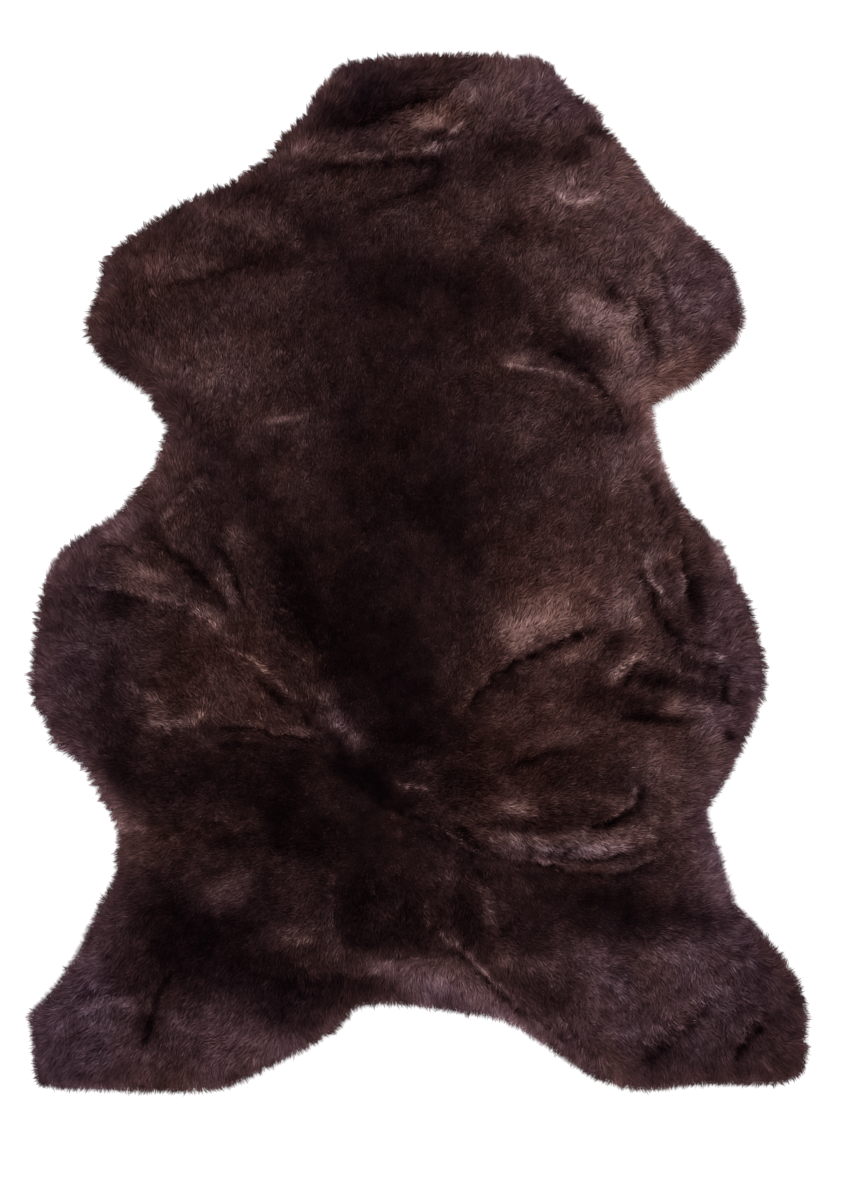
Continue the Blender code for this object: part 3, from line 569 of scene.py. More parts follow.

# Creases, ridges and wisps that show as lines, with painted shade along the creases and painted highlights
# along the ridges and wisps: how the tone changes to the left and to the right of the line, over what reach,
# how much more the wool leans, and how deep the crease is.
LIGHT_AND_SHADE_LINES = (
    # name, left tone, left reach, right tone, right reach, lean, depth, line
    ("neck lip", 10, 3, 9, 3.5, 6, 0, ((-112, 413), (-78, 412), (-56, 413), (-36, 415), (0, 419),
        (40, 424))),
    ("neck valley", -13, 4, -14, 8, 0, 6, ((-116, 403), (-64, 405), (-24, 409), (14, 409), (40, 403))),
    ("neck band edge", -6, 8, 8, 9, 5, 3, ((-90, 436), (-50, 446), (-22, 460), (0, 466), (22, 474),
        (42, 491), (66, 510))),
    ("neck wisps", -14, 2, 8, 2, 5, 2, ((14, 480), (34, 490), (54, 505), (64, 516))),
    ("nape crease", -9, 6, -4, 8, 0, 4, ((-78, 357), (-54, 362), (-34, 368), (-1, 378), (24, 386))),
    ("neck crack", -24, 1.5, -12, 2, 0, 5, ((116, 443), (124, 451), (131, 458), (144, 469))),
    ("curl, lower arc", 6, 3, 16, 3, 8, 0, ((136, 382), (146, 372), (160, 369), (172, 372), (180, 382))),
    ("curl, upper arc", 12, 3, 6, 3, 6, 0, ((144, 390), (156, 392), (170, 389))),
    ("left shoulder crease", -10, 4, -7, 7, 0, 5, ((-262, 279), (-230, 288), (-200, 298), (-175, 306))),
    ("left shoulder lip", 6, 8, 2, 4, 5, 0, ((-250, 292), (-225, 299), (-195, 308))),
    ("right shoulder crease", -8, 8, -16, 5, 0, 7, ((212, 285), (222, 262), (230, 240), (237, 218),
        (241, 198))),
    ("right shoulder second crease", -8, 4, -6, 6, 0, 4, ((240, 306), (245, 284), (254, 254))),
    ("right shoulder faint crease", -6, 4, -4, 4, 0, 3, ((188, 286), (198, 270), (206, 254))),
    ("right shoulder tuft", 6, 7, 4, 5, 5, 0, ((206, 276), (214, 256), (222, 234))),
    ("armpit lip", 0, 2, 18, 4, 6, 3, ((70, 206), (100, 207), (128, 203), (156, 194))),
    ("armpit edge", -6, 5, 4, 6, 5, 3, ((148, 198), (170, 188), (192, 172), (208, 158))),
    ("left flank ridge", 9, 7, 8, 4.5, 14, 0, ((-306, -12), (-280, -20), (-268, -27), (-250, -30),
        (-232, -34), (-217, -41), (-205, -52), (-195, -67), (-186, -84))),
    ("left flank hollow edge", 7, 5, -9, 9, 4, 4, ((-350, -10), (-322, -18), (-300, -21), (-282, -26),
        (-262, -38))),
    ("left flank V", 10, 7, 10, 5, 8, 0, ((-202, 18), (-197, -2), (-192, -16), (-187, -30), (-180, -50))),
    ("left flank V shade", -10, 3, -12, 3.5, 0, 5, ((-212, 34), (-198, 18), (-188, 2), (-181, -16),
        (-175, -32), (-164, -52))),
    ("left flank valley", -11, 6, -11, 7, 0, 6, ((-278, 42), (-256, 26), (-240, 10), (-226, 0), (-214, -14),
        (-203, -28), (-188, -50))),
    ("fold lip", 4, 10, 3, 8, 8, 0, ((-172, -18), (-148, -52), (-122, -84), (-98, -106))),
    ("fold lip edge", -6, 10, 3, 5, 4, 0, ((-158, 10), (-138, -30), (-112, -66), (-92, -96))),
    ("left flank thin crease", -14, 2, -8, 3, 0, 4, ((-332, 21), (-312, 24), (-297, 22), (-284, 16),
        (-268, 8))),
    ("long fold bright line", 6, 3, 21, 4.5, 6, 0, ((-200, -72), (-172, -84), (-158, -93), (-146, -103),
        (-134, -115), (-118, -131))),
    ("long fold shade", -8, 4, -16, 5, 0, 8, ((-166, -108), (-140, -126), (-125, -136), (-110, -148),
        (-97, -160), (-85, -172), (-72, -190))),
    ("long fold shade, low", -13, 7, -13, 7, 0, 8, ((-88, -182), (-62, -207), (-40, -222), (-20, -236),
        (-3, -253), (11, -272), (28, -290))),
    ("long fold end", -15, 5, -9, 8, 0, 6, ((6, -240), (34, -262), (60, -280), (80, -290))),
    ("long fold wisps", 20, 3, 16, 3, 6, 0, ((-40, -203), (-24, -210), (-12, -215), (2, -218), (14, -220))),
    ("crossing wisps", 8, 2.5, 8, 2.5, 6, 0, ((-18, -204), (-6, -196), (4, -194), (11, -199), (8, -210))),
    ("crossing arc", 18, 4, 14, 3, 6, 0, ((12, -240), (25, -256), (32, -266), (42, -274), (54, -279),
        (66, -285), (84, -290))),
    ("left flank lower light", 8, 5, 6, 6, 10, 0, ((-304, -108), (-276, -124), (-248, -133))),
    ("left flank lower bright", 16, 8, 13, 7, 16, 0, ((-278, -150), (-256, -153), (-234, -152), (-216, -144),
        (-194, -136))),
    ("left flank lower line", 8, 5, -16, 6, 4, 4, ((-204, -155), (-165, -157), (-140, -162), (-118, -165),
        (-90, -172))),
    ("left flank lower shade", 0, 4, -7, 9, 0, 4, ((-210, -172), (-160, -174), (-106, -180))),
    ("rump arc", 6, 9, -24, 6, 0, 9, ((38, -158), (49, -134), (67, -111), (96, -90), (134, -72), (165, -60),
        (194, -48))),
    ("rump arc shade", -4, 3, -7, 12, 0, 3, ((43, -160), (55, -136), (75, -114), (105, -92))),
    ("rump small ridge", 18, 4, 16, 4, 8, 0, ((188, -120), (198, -104), (206, -93), (217, -86), (234, -84))),
    ("rump tuft", 7, 5, 7, 5, 12, 0, ((205, -25), (213, -45), (222, -66))),
    ("right flank V, left", 15, 4, 7, 3, 6, 0, ((223, 16), (228, -2), (234, -14), (243, -27), (254, -40))),
    ("right flank V, right", -17, 4, 10, 4, 6, 4, ((265, 44), (263, 20), (263, 2), (266, -12), (269, -34))),
    ("right flank crease", -11, 4, -14, 4, 0, 6, ((216, 6), (224, -10), (232, -26), (240, -42), (247, -56),
        (256, -72))),
    ("right flank wisps", 9, 4, 8, 4, 10, 0, ((254, -72), (276, -82), (296, -86), (314, -84))),
    ("right flank wisps, low", 14, 2.5, 10, 2, 6, 0, ((250, -97), (264, -101), (274, -106), (288, -111))),
    ("belly crease", -4, 6, -11, 8, 0, 3, ((52, -208), (85, -196), (110, -186), (140, -181), (178, -186))),
    ("belly pleat", -24, 4.5, -24, 5, 0, 10, ((166, -257), (184, -253), (196, -250), (206, -245),
        (214, -238), (220, -230), (222, -221), (217, -211))),
    ("belly pleat lip", 9, 3, 7, 1.5, 6, 0, ((186, -245), (198, -242), (206, -236), (211, -230), (213, -222),
        (210, -210))),
    ("belly fold light", 10, 8, 11, 8, 18, 0, ((56, -262), (84, -266), (110, -270), (140, -277), (170, -277),
        (200, -274), (228, -268))),
    ("belly fold light, high", 6, 4, 4, 3, 10, 0, ((84, -262), (116, -267), (140, -266))),
    ("belly fold creases", -16, 2, -10, 2, 0, 3, ((148, -285), (164, -288), (178, -289), (196, -285),
        (210, -280))),
    ("belly fold edge", 8, 3, -13, 6, 4, 6, ((60, -274), (78, -284), (96, -290), (118, -292), (136, -296),
        (160, -299), (182, -303), (198, -303), (212, -298), (232, -291), (252, -287))),
    ("tail boundary", -6, 5, 10, 4, 4, 6, ((-54, -393), (-30, -388), (-8, -387), (14, -388), (34, -385),
        (50, -383))),
    ("leg boundary", -8, 5, 5, 5, 4, 4, ((110, -443), (128, -458), (148, -474), (166, -486))),
    ("leg inner curve", -6, 6, 6, 6, 6, 2, ((140, -436), (148, -456), (160, -476), (176, -490))),
    ("left thigh streak", 13, 4, 10, 4, 12, 0, ((-140, -366), (-124, -370), (-108, -368))),
    ("thigh light boundary", -2, 6, 8, 8, 4, 2, ((-82, -290), (-85, -330), (-82, -362), (-68, -386))),
    ("tail streak", 14, 2.5, 12, 2.5, 5, 0, ((9, -328), (7, -342), (6, -352), (5, -362))),
    ("tail streak, low", 12, 3, 10, 3, 5, 0, ((12, -355), (26, -365), (38, -374), (54, -387))),
    ("tail streak, right", 9, 4, 7, 3, 5, 2, ((52, -302), (62, -318), (68, -334), (75, -350), (81, -370))),
    ("left leg line", 5, 14, -4, 6, 4, 2, ((-276, -424), (-310, -424), (-346, -428))),
    ("left leg crease", -18, 2.5, -20, 4, 0, 7, ((-245, -402), (-258, -420), (-266, -440), (-272, -462),
        (-277, -486))),
    ("left leg ridge", 5, 5, 5, 5, 8, 0, ((-228, -424), (-236, -444), (-248, -464))),
    ("right leg ridge", -10, 7, -14, 7, 6, 2, ((212, -490), (236, -479), (262, -459), (284, -437),
        (304, -414))),
    ("right leg crease", -22, 4, -17, 5, 0, 4, ((312, -494), (328, -470), (346, -446))),
    ("right leg top line", -4, 8, 4, 10, 4, 0, ((290, -366), (240, -366), (180, -362))),
    ("tail boundary, right", -10, 2, -18, 4, 0, 6, ((18, -375), (36, -381), (48, -389), (60, -402),
        (74, -417), (88, -431), (100, -441), (120, -455))),
    ("armpit dark edge", -18, 6, -18, 6, 0, 4, ((108, 238), (136, 220), (162, 203), (186, 176), (198, 150),
        (204, 124))),
    ("under the long fold", -7, 7, -9, 7, 0, 4, ((4, -252), (28, -275), (56, -297), (74, -318), (82, -336))),
    ("neck valley end", -4, 4, -3, 4, 0, 2, ((14, 420), (19, 404), (16, 388))),
    ("neck wisps, right", -12, 2, 7, 2, 5, 2, ((30, 480), (50, 496), (62, 506), (78, 520))),
    ("neck lock", 8, 3, 16, 3, 5, 0, ((4, 425), (28, 437), (54, 451))),
    ("neck lock, low", 10, 3, 8, 3, 4, 0, ((-14, 420), (14, 424), (48, 432))),
    ("long fold thin light", 3, 2, 9, 3, 4, 0, ((-58, -227), (-36, -239), (-20, -246), (0, -252))),
    ("crossing arc shade", -13, 3, -12, 4, 0, 3, ((32, -250), (48, -263), (60, -273), (76, -280))),
    ("belly fold creases, left", -13, 2, -6, 2, 0, 2, ((98, -270), (118, -278), (132, -282), (146, -281),
        (162, -271))),
    ("belly fold thin light", 12, 2, 8, 2, 3, 0, ((110, -285), (130, -290), (144, -291), (160, -287))),
    ("rump small ridge shade", -14, 3, -12, 4, 0, 4, ((202, -118), (210, -104), (217, -94), (224, -88))),
    ("right flank hook", -16, 3, -15, 3, 0, 5, ((314, -100), (303, -110), (301, -121), (306, -131),
        (322, -136))),
    ("tail edge light", 6, 2, 9, 3, 4, 0, ((20, -360), (36, -372), (48, -382), (62, -396), (78, -412),
        (100, -432))),
    ("left waist light", 12, 6, 6, 5, 5, 0, ((-258, 42), (-246, 60), (-228, 78), (-206, 96))),
    ("right waist shade", -9, 4, -9, 5, 0, 2, ((222, 104), (236, 88), (242, 70), (248, 50))),
    ("fold fluff", 6, 9, 10, 7, 14, 0, ((-118, -106), (-102, -124), (-90, -140), (-76, -158), (-58, -174),
        (-42, -192))),
    ("right flank dark wisps", -10, 3, -10, 3, 6, 2, ((246, -62), (266, -72), (284, -76), (306, -74))),
    ("right flank dark wisps, low", -9, 3, -8, 3, 6, 2, ((256, -84), (280, -94), (300, -98), (322, -96))),
    ("long fold lower edge", -9, 5, 4, 5, 0, 4, ((-44, -232), (-14, -247), (14, -259), (38, -276),
        (60, -287), (86, -293))),
)

# Grid that the fields below are kept on.
GRID_X, GRID_Y = -440.0, -560.0
GRID_STEP = 1.25
GRID_SIZE = (705, 897)

# The rim is followed in steps of this length.
RIM_STEP = 3.0


class Field:
    """Values on the grid, read in between its points."""

    def __init__(self, values):
        self.values = values

    def at(self, x, y):
        u = np.clip((x - GRID_X) / GRID_STEP, 0, GRID_SIZE[0] - 1.001)
        v = np.clip((y - GRID_Y) / GRID_STEP, 0, GRID_SIZE[1] - 1.001)
        i, j = u.astype(int), v.astype(int)
        u, v = u - i, v - j
        a = self.values
        return ((a[j, i] * (1 - u) + a[j, i + 1] * u) * (1 - v)
                + (a[j + 1, i] * (1 - u) + a[j + 1, i + 1] * u) * v)


def grid_points():
    """The x and the y of every point of the grid."""
    x = GRID_X + GRID_STEP * np.arange(GRID_SIZE[0])
    y = GRID_Y + GRID_STEP * np.arange(GRID_SIZE[1])
    return np.meshgrid(x, y)


def coarse_to_grid(values):
    """A grid of twice the step, filled in to the full one."""
    wide = np.empty((values.shape[0], GRID_SIZE[0]))
    wide[:, ::2] = values
    wide[:, 1::2] = (values[:, :-1] + values[:, 1:]) / 2
    full = np.empty((GRID_SIZE[1], GRID_SIZE[0]))
    full[::2] = wide
    full[1::2] = (wide[:-1] + wide[1:]) / 2
    return full


def blur(values, reach, rounds=3):
    """A soft blur: a box that reaches so far on each side, run a few times."""
    radius = max(1, round(reach / GRID_STEP))
    for _ in range(rounds):
        for axis in (0, 1):
            total = np.zeros_like(values)
            for shift in range(-radius, radius + 1):
                total += np.roll(values, shift, axis)
            values = total / (2 * radius + 1)
    return values


def soft_noise(size):
    """Random smooth hills and hollows about a size across, with a spread of 1."""
    hills = blur(rng.normal(0, 1, (GRID_SIZE[1], GRID_SIZE[0])), size / 4)
    return (hills - hills.mean()) / hills.std()


def smoothstep(x):
    x = np.clip(x, 0, 1)
    return x * x * (3 - 2 * x)


def curve_through(knots, closed, step):
    """Points about a step apart on a Catmull-Rom curve through the knots."""
    knots = np.array(knots, float)
    count = len(knots)
    found = []
    for i in range(count if closed else count - 1):
        near = np.arange(i - 1, i + 3)
        near = near % count if closed else np.clip(near, 0, count - 1)
        a, b, c, d = knots[near]
        steps = max(1, round(np.linalg.norm(c - b) / step))
        t = (np.arange(steps) / steps)[:, None]
        found.append(0.5 * (2 * b + (c - a) * t + (2 * a - 5 * b + 4 * c - d) * t ** 2
                            + (3 * b - a - 3 * c + d) * t ** 3))
    if not closed:
        found.append(knots[-1:])
    return np.concatenate(found)


def rim_curve(step):
    """Points about a step apart along the edge of the wool."""
    return curve_through([point for _, stretch in OUTLINE for point in stretch], True, step)


def near_line(x, y, line):
    """(distance to a line of points, share of the way along it, whether left of it) at each place."""
    best = np.full(x.shape, np.inf)
    share = np.zeros(x.shape)
    left = np.zeros(x.shape, bool)
    for i, (a, b) in enumerate(zip(line[:-1], line[1:])):
        step = b - a
        t = np.clip(((x - a[0]) * step[0] + (y - a[1]) * step[1]) / step.dot(step), 0, 1)
        away = np.hypot(x - a[0] - t * step[0], y - a[1] - t * step[1])
        nearer = away < best
        best = np.where(nearer, away, best)
        share = np.where(nearer, (i + t) / (len(line) - 1), share)
        left = np.where(nearer, step[0] * (y - a[1]) > step[1] * (x - a[0]), left)
    return best, share, left


def rim_distance_field(outline):
    """How far inside the wool's edge a point is. It is negative outside."""
    x, y = grid_points()
    x, y = x[::2, ::2], y[::2, ::2]
    away = np.full(x.shape, np.inf)
    crossings = np.zeros(x.shape, int)
    for a, b in zip(outline, np.roll(outline, -1, axis=0)):
        away = np.minimum(away, np.hypot(x - a[0], y - a[1]))
        if a[1] != b[1]:
            spans = (a[1] > y) != (b[1] > y)
            crossings += spans & (x < a[0] + (b[0] - a[0]) * (y - a[1]) / (b[1] - a[1]))
    return Field(coarse_to_grid(np.where(crossings % 2 == 1, away, -away)))


def solid_height_field(rim):
    """The height of the solid's lumpy top, read off the solid itself and smoothed."""
    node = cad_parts["sheepskin"]
    placed = node.matrix_world
    vertices = [placed @ vertex.co for vertex in node.data.vertices]
    tree = BVHTree.FromPolygons(vertices, [polygon.vertices for polygon in node.data.polygons])
    x, y = grid_points()
    x, y = x[::2, ::2], y[::2, ::2]
    heights = np.zeros(x.shape)
    down = Vector((0, 0, -1))
    for j, i in np.ndindex(x.shape):
        hit = tree.ray_cast(Vector((x[j, i] * MM, y[j, i] * MM, RAY_START)), down)[0]
        if hit is not None:
            heights[j, i] = hit.z / MM
    heights = coarse_to_grid(heights)
    known = (rim.values > SURFACE_INSET).astype(float)
    reach = blur(known, SURFACE_BLUR)
    heights = np.where(reach > 1e-3, blur(heights * known, SURFACE_BLUR) / np.maximum(reach, 1e-3), 0)
    for _ in range(SPREAD_ROUNDS):
        wider = blur((heights > 0).astype(float), SPREAD_REACH, 1)
        spread = blur(heights, SPREAD_REACH, 1) / np.maximum(wider, 1e-3)
        heights = np.where(heights > 0, heights, spread)
    edge = np.clip((rim.values - ROUND_FROM) / ROUND_WIDTH, 0, 1) ** ROUND_POWER
    return Field(heights * edge)


def window(low, high, margin):
    """The part of the grid around a box of (x, y) corners, as a pair of slices."""
    first = (np.array(low) - margin - (GRID_X, GRID_Y)) / GRID_STEP
    last = (np.array(high) + margin - (GRID_X, GRID_Y)) / GRID_STEP + 1
    (i, j), (k, m) = np.clip(first, 0, None).astype(int), last.astype(int)
    return slice(j, m), slice(i, k)


def add_patch(values, x, y, place_x, place_y, half_x, half_y, turn, change):
    """Adds a change to the values over an elliptical patch, fading out at its edge."""
    part = window((place_x, place_y), (place_x, place_y), PATCH_REACH * max(half_x, half_y))
    angle = math.radians(turn)
    across, along = x[part] - place_x, y[part] - place_y
    u = (across * math.cos(angle) + along * math.sin(angle)) / half_x
    v = (along * math.cos(angle) - across * math.sin(angle)) / half_y
    values[part] += change * np.exp(-(u * u + v * v) ** PATCH_POWER)


def add_streak(wool, x, y, tufts, streak):
    """Adds a drawn line to the wool's fields: painted shade or a painted highlight in the tone, more lean
    and a real crease. Its two sides may differ, and its ends fade out.
    """
    _, left_tone, left_reach, right_tone, right_reach, lean, depth, line = streak
    curve = curve_through(line, False, LINE_STEP)
    part = window(curve.min(0), curve.max(0), LINE_REACH * max(left_reach, right_reach, 4))
    away, share, left = near_line(x[part], y[part], curve)
    ends = smoothstep(share / LINE_FADE) * smoothstep((1 - share) / LINE_FADE)
    shape = ends * np.exp(-(away / np.where(left, left_reach, right_reach)) ** 2)
    # The line's painted shade or painted highlight, added to the tone.
    change = np.where(left, left_tone, right_tone) * shape
    wool.tone.values[part] += change * tufts[part]
    wool.ruffle.values[part] += LINE_RUFFLE * np.abs(change)
    wool.lean.values[part] += LINE_LEAN * lean * shape
    wool.depth.values[part] += depth * ends * np.exp(-(away / LINE_CREASE_REACH) ** 2)


def near_rim(inside, width):
    """1 at the wool's edge and less the further inside, over about a width."""
    return np.exp(-(np.clip(inside, 0, None) / width) ** 2)


def wool_fields(rim):
    """The wool's tone with its painted light and shade, extra lean, depth of the creases, hue with its
    painted sheen, and ruffle, from the patches and streaks.
    """
    x, y = grid_points()
    edge = near_rim(rim.values, RIM_WIDTH)
    # A little painted shade over the rim band; the rim's violet-grey painted sheen is added to the hue
    # below.
    tone = BASE_TONE + RIM_SHADE_TONE * edge
    for size, change in MOTTLE:
        tone += change * soft_noise(size)
    hue = RIM_SHEEN_HUE * edge + HUE_WAVE * soft_noise(HUE_WAVE_SIZE)
    lean, depth, ruffle = (np.zeros(x.shape) for _ in range(3))
    # The patches' painted light and shade go into the tone, and their lean into the lean.
    for _, patches in LIGHT_AND_SHADE_PATCHES:
        for _, *place, patch_tone, patch_lean in patches:
            add_patch(tone, x, y, *place, patch_tone)
            add_patch(lean, x, y, *place, patch_lean)
    # Violet-grey painted sheen and the wool's own hue, patch by patch.
    for _, *place, patch_hue in SHEEN_AND_HUES:
        add_patch(hue, x, y, *place, patch_hue)
    wool = SimpleNamespace(tone=Field(tone), lean=Field(lean), depth=Field(depth), hue=Field(hue),
                           ruffle=Field(ruffle))
    strayed_x = x + LINE_WOBBLE * soft_noise(LINE_WOBBLE_SIZE)
    strayed_y = y + LINE_WOBBLE * soft_noise(LINE_WOBBLE_SIZE)
    tufts = np.clip(1 + LINE_TUFTS * soft_noise(LINE_TUFT_SIZE), *LINE_TUFT_LIMITS)
    for streak in LIGHT_AND_SHADE_LINES:
        add_streak(wool, strayed_x, strayed_y, tufts, streak)
    # Painted sheen: a paler, more violet band at the wool's edge.
    sheen_fringe = near_rim(rim.values + FRINGE_OUTSIDE, FRINGE_WIDTH)
    wool.tone.values = BASE_TONE + CONTRAST * (tone - BASE_TONE) + FRINGE_SHEEN_TONE * sheen_fringe
    wool.hue.values += FRINGE_SHEEN_HUE * sheen_fringe
    return wool


def comb_fields(rim):
    """The combed direction as (x, y) parts, and the lean, at each grid point."""
    x, y = grid_points()
    total = np.zeros(x.shape)
    along_x, along_y, lean = np.zeros(x.shape), np.zeros(x.shape), np.zeros(x.shape)
    for _, px, py, direction, place_lean in COMB:
        weight = 1 / ((x - px) ** 2 + (y - py) ** 2 + COMB_BLEND ** 2) ** 1.5
        total += weight
        along_x += weight * math.cos(math.radians(direction))
        along_y += weight * math.sin(math.radians(direction))
        lean += weight * place_lean
    slope_y, slope_x = np.gradient(blur(rim.values, RIM_SLOPE_BLUR), GRID_STEP)
    edge, turn = near_rim(rim.values, RIM_WIDTH), near_rim(rim.values, RIM_TURN_WIDTH)
    along_x = along_x / total * (1 - turn) - slope_x * turn
    along_y = along_y / total * (1 - turn) - slope_y * turn
    length = np.maximum(np.hypot(along_x, along_y), 1e-6)
    lean = (lean / total * (1 - edge) + RIM_LEAN * edge) * np.minimum(2 * length, 1)
    return Field(along_x / length), Field(along_y / length), Field(lean)


def wispiness(x, y):
    """How much the rim ends in wisps, averaged in between the places of the table."""
    total = np.zeros(x.shape)
    value = np.zeros(x.shape)
    for _, px, py, wisps in RIM_WISPS:
        weight = 1 / ((x - px) ** 2 + (y - py) ** 2 + WISP_BLEND ** 2) ** 2
        total += weight
        value += weight * wisps
    return value / total


class Clumps:
    """Which tuft each strand belongs to: the nearest of jittered grid points."""

    def __init__(self, x, y):
        half_x, half_y = CLUMP_SPAN[0] / 2, CLUMP_SPAN[1] / 2
        columns, rows = round(CLUMP_SPAN[0] / CLUMP_SPACING), round(CLUMP_SPAN[1] / CLUMP_SPACING)
        clump_x = np.arange(columns) + rng.uniform(*CLUMP_JITTER, (rows, columns))
        clump_x = clump_x * CLUMP_SPACING - half_x
        clump_y = np.arange(rows)[:, None] + rng.uniform(*CLUMP_JITTER, (rows, columns))
        clump_y = clump_y * CLUMP_SPACING - half_y
        column = ((x + half_x) / CLUMP_SPACING).astype(int)
        row = ((y + half_y) / CLUMP_SPACING).astype(int)
        best = np.full(x.shape, np.inf)
        number = np.zeros(x.shape, int)
        for next_row in (-1, 0, 1):
            for next_column in (-1, 0, 1):
                j, i = row + next_row, column + next_column
                away = np.hypot(clump_x[j, i] - x, clump_y[j, i] - y)
                nearer = away < best
                best = np.where(nearer, away, best)
                number = np.where(nearer, j * columns + i, number)
        self.x, self.y = clump_x.ravel()[number], clump_y.ravel()[number]
        self.number, self.count = number, rows * columns

    def normal(self, mean, spread):
        """A random value for each tuft, handed to all of its strands."""
        return rng.normal(mean, spread, self.count)[self.number]


def strand_roots(rim):
    """Evenly jittered points all over the hide, sorted from tail to neck."""
    area = (rim.values > ROOT_INSET).sum() * GRID_STEP ** 2
    spacing = math.sqrt(area / STRANDS)
    x, y = np.meshgrid(np.arange(GRID_X, -GRID_X, spacing), np.arange(GRID_Y, -GRID_Y, spacing))
    x = (x + rng.uniform(0, spacing, x.shape)).ravel()
    y = (y + rng.uniform(0, spacing, y.shape)).ravel()
    kept = rim.at(x, y) > ROOT_INSET
    x, y = x[kept], y[kept]
    order = np.argsort(y, kind="stable")
    return x[order], y[order]


def turned(along_x, along_y, turn):
    """Directions turned by an angle, as (x, y)."""
    return along_x * np.cos(turn) - along_y * np.sin(turn), along_x * np.sin(turn) + along_y * np.cos(turn)


def comb_strands(rim, x, y, edge, wispy, clumps):
    """(direction of each strand, direction of its tuft, combed lean). A direction is a pair, x and y."""
    comb_x, comb_y, comb_lean = comb_fields(rim)
    clump_turn = clumps.normal(0, CLUMP_TURN)
    clump_turn = clump_turn + CLUMP_WAVE * Field(soft_noise(CLUMP_WAVE_SIZE)).at(clumps.x, clumps.y)
    axis = turned(comb_x.at(clumps.x, clumps.y), comb_y.at(clumps.x, clumps.y), clump_turn)
    turn = clump_turn + rng.normal(0, STRAND_TURN, len(x)) * (1 - WISP_STEADY * edge * wispy)
    turn += STRAND_WAVE * Field(soft_noise(STRAND_WAVE_SIZE)).at(x, y) * (1 - edge)
    return turned(comb_x.at(x, y), comb_y.at(x, y), turn), axis, comb_lean.at(x, y)


def lean_and_length(lean, edge, crease, clumps):
    """How far each strand leans, in radians, and how long it is."""
    lean = lean + (rng.normal(0, STRAND_LEAN, len(lean)) + clumps.normal(0, CLUMP_LEAN))
    lean = np.radians(np.clip(lean * (1 - CREASE_UPRIGHT * crease), *LEAN_LIMITS))
    length = STRAND_LENGTH + (RIM_STRAND_LENGTH - STRAND_LENGTH) * edge
    spread = rng.uniform(*LENGTH_RANGE, len(lean)) * clumps.normal(1, CLUMP_LENGTH)
    return lean, length * (spread * (1 - CREASE_SHORTER * crease))


def draw_together(tip_x, tip_y, axis, pull, clumps):
    """Pulls tips towards the axis of their tuft, and says how far beside it they stay."""
    beside = (tip_y - clumps.y) * axis[0] - (tip_x - clumps.x) * axis[1]
    tip_x += pull * beside * axis[1]
    tip_y -= pull * beside * axis[0]
    return beside * (1 - pull)


def end_at_rim(rim, tip_x, tip_y, along, beside, wispy, clumps):
    """Moves tips back that reach too far past the rim. The middle of a wisp may reach furthest."""
    wisp = WISP_LENGTH * np.clip(clumps.normal(WISP_MEAN, WISP_SPREAD), 0, WISP_LIMIT)
    pointed = np.clip(1 - 2 * np.abs(beside) / WISP_WIDTH, 0, 1)
    pointed *= rng.uniform(*WISP_FILL, len(pointed))
    allowed = wispy * ((wisp + WISP_GAP) * pointed - WISP_GAP)
    allowed = allowed + rng.exponential(RIM_FADE, len(pointed)) - RIM_MARGIN
    for _ in range(2):
        back = np.clip(-rim.at(tip_x, tip_y) - allowed, 0, None)
        tip_x -= along[0] * back
        tip_y -= along[1] * back


def strand_heights(height, x, y, tip_x, tip_y, upright):
    """The heights of the roots and of the tips, for strands that are so tall when upright."""
    count = len(x)
    tip_z = height.at(x, y) + rng.uniform(*TIP_SPREAD, count)
    root_z = np.minimum(tip_z - upright, UNDERCOAT_SHARE * height.at(x, y) - ROOT_DEPTH)
    root_z = np.maximum(root_z, LOWEST_ROOT)
    tip_z = np.minimum(tip_z, height.at(tip_x, tip_y) * rng.uniform(*TIP_SHARE, count) + TIP_MARGIN)
    return root_z, np.maximum(tip_z, rng.uniform(*LOWEST_TIP, count))


def kites(root, tip, edge):
    """The four corners of each strand, a flat bent kite: its root, two at the bend, and its tip."""
    count = len(root)
    middle = root + BEND_ALONG * (tip - root)
    middle[:, 2] = root[:, 2] + BEND_UP * (tip[:, 2] - root[:, 2]) + RIM_BEND_UP * edge
    growth = tip - root
    growth /= np.linalg.norm(growth, axis=1)[:, None]
    side = np.stack((-growth[:, 1], growth[:, 0], np.zeros(count)), 1)
    side /= np.maximum(np.linalg.norm(side, axis=1), 1e-6)[:, None]
    facing = np.cross(growth, side)
    twist = rng.uniform(-TWIST, TWIST, count)[:, None]
    across = side * np.cos(twist) + facing * np.sin(twist)
    width = STRAND_WIDTH * rng.uniform(*WIDTH_RANGE, count) * (1 - RIM_NARROWER * edge)
    across *= (width / 2)[:, None]
    return np.stack((root, middle - across, middle + across, tip), 1)


def strand_shades(wool, vertices, clumps):
    """The tones and hues of the corners, read between each corner and the middle of its strand."""
    count = len(vertices)
    root, tip = vertices[:, 0], vertices[:, 3]
    centre = 0.5 * (root + tip)[:, None]
    places = np.moveaxis(TONE_SPREAD * vertices + (1 - TONE_SPREAD) * centre, 2, 0)[:2]
    own_tone = rng.normal(0, STRAND_TONE, count) + clumps.normal(0, CLUMP_TONE)
    own_tone *= 1 + np.clip(wool.ruffle.at(tip[:, 0], tip[:, 1]), 0, MOST_RUFFLE)
    # Each strand is darker towards its root, a painted shade deep in the pile.
    tones = wool.tone.at(*places) + own_tone[:, None] + np.array(TONES_ALONG_STRAND)
    hues = wool.hue.at(*places) + rng.normal(0, STRAND_HUE, count)[:, None]
    return tones, hues


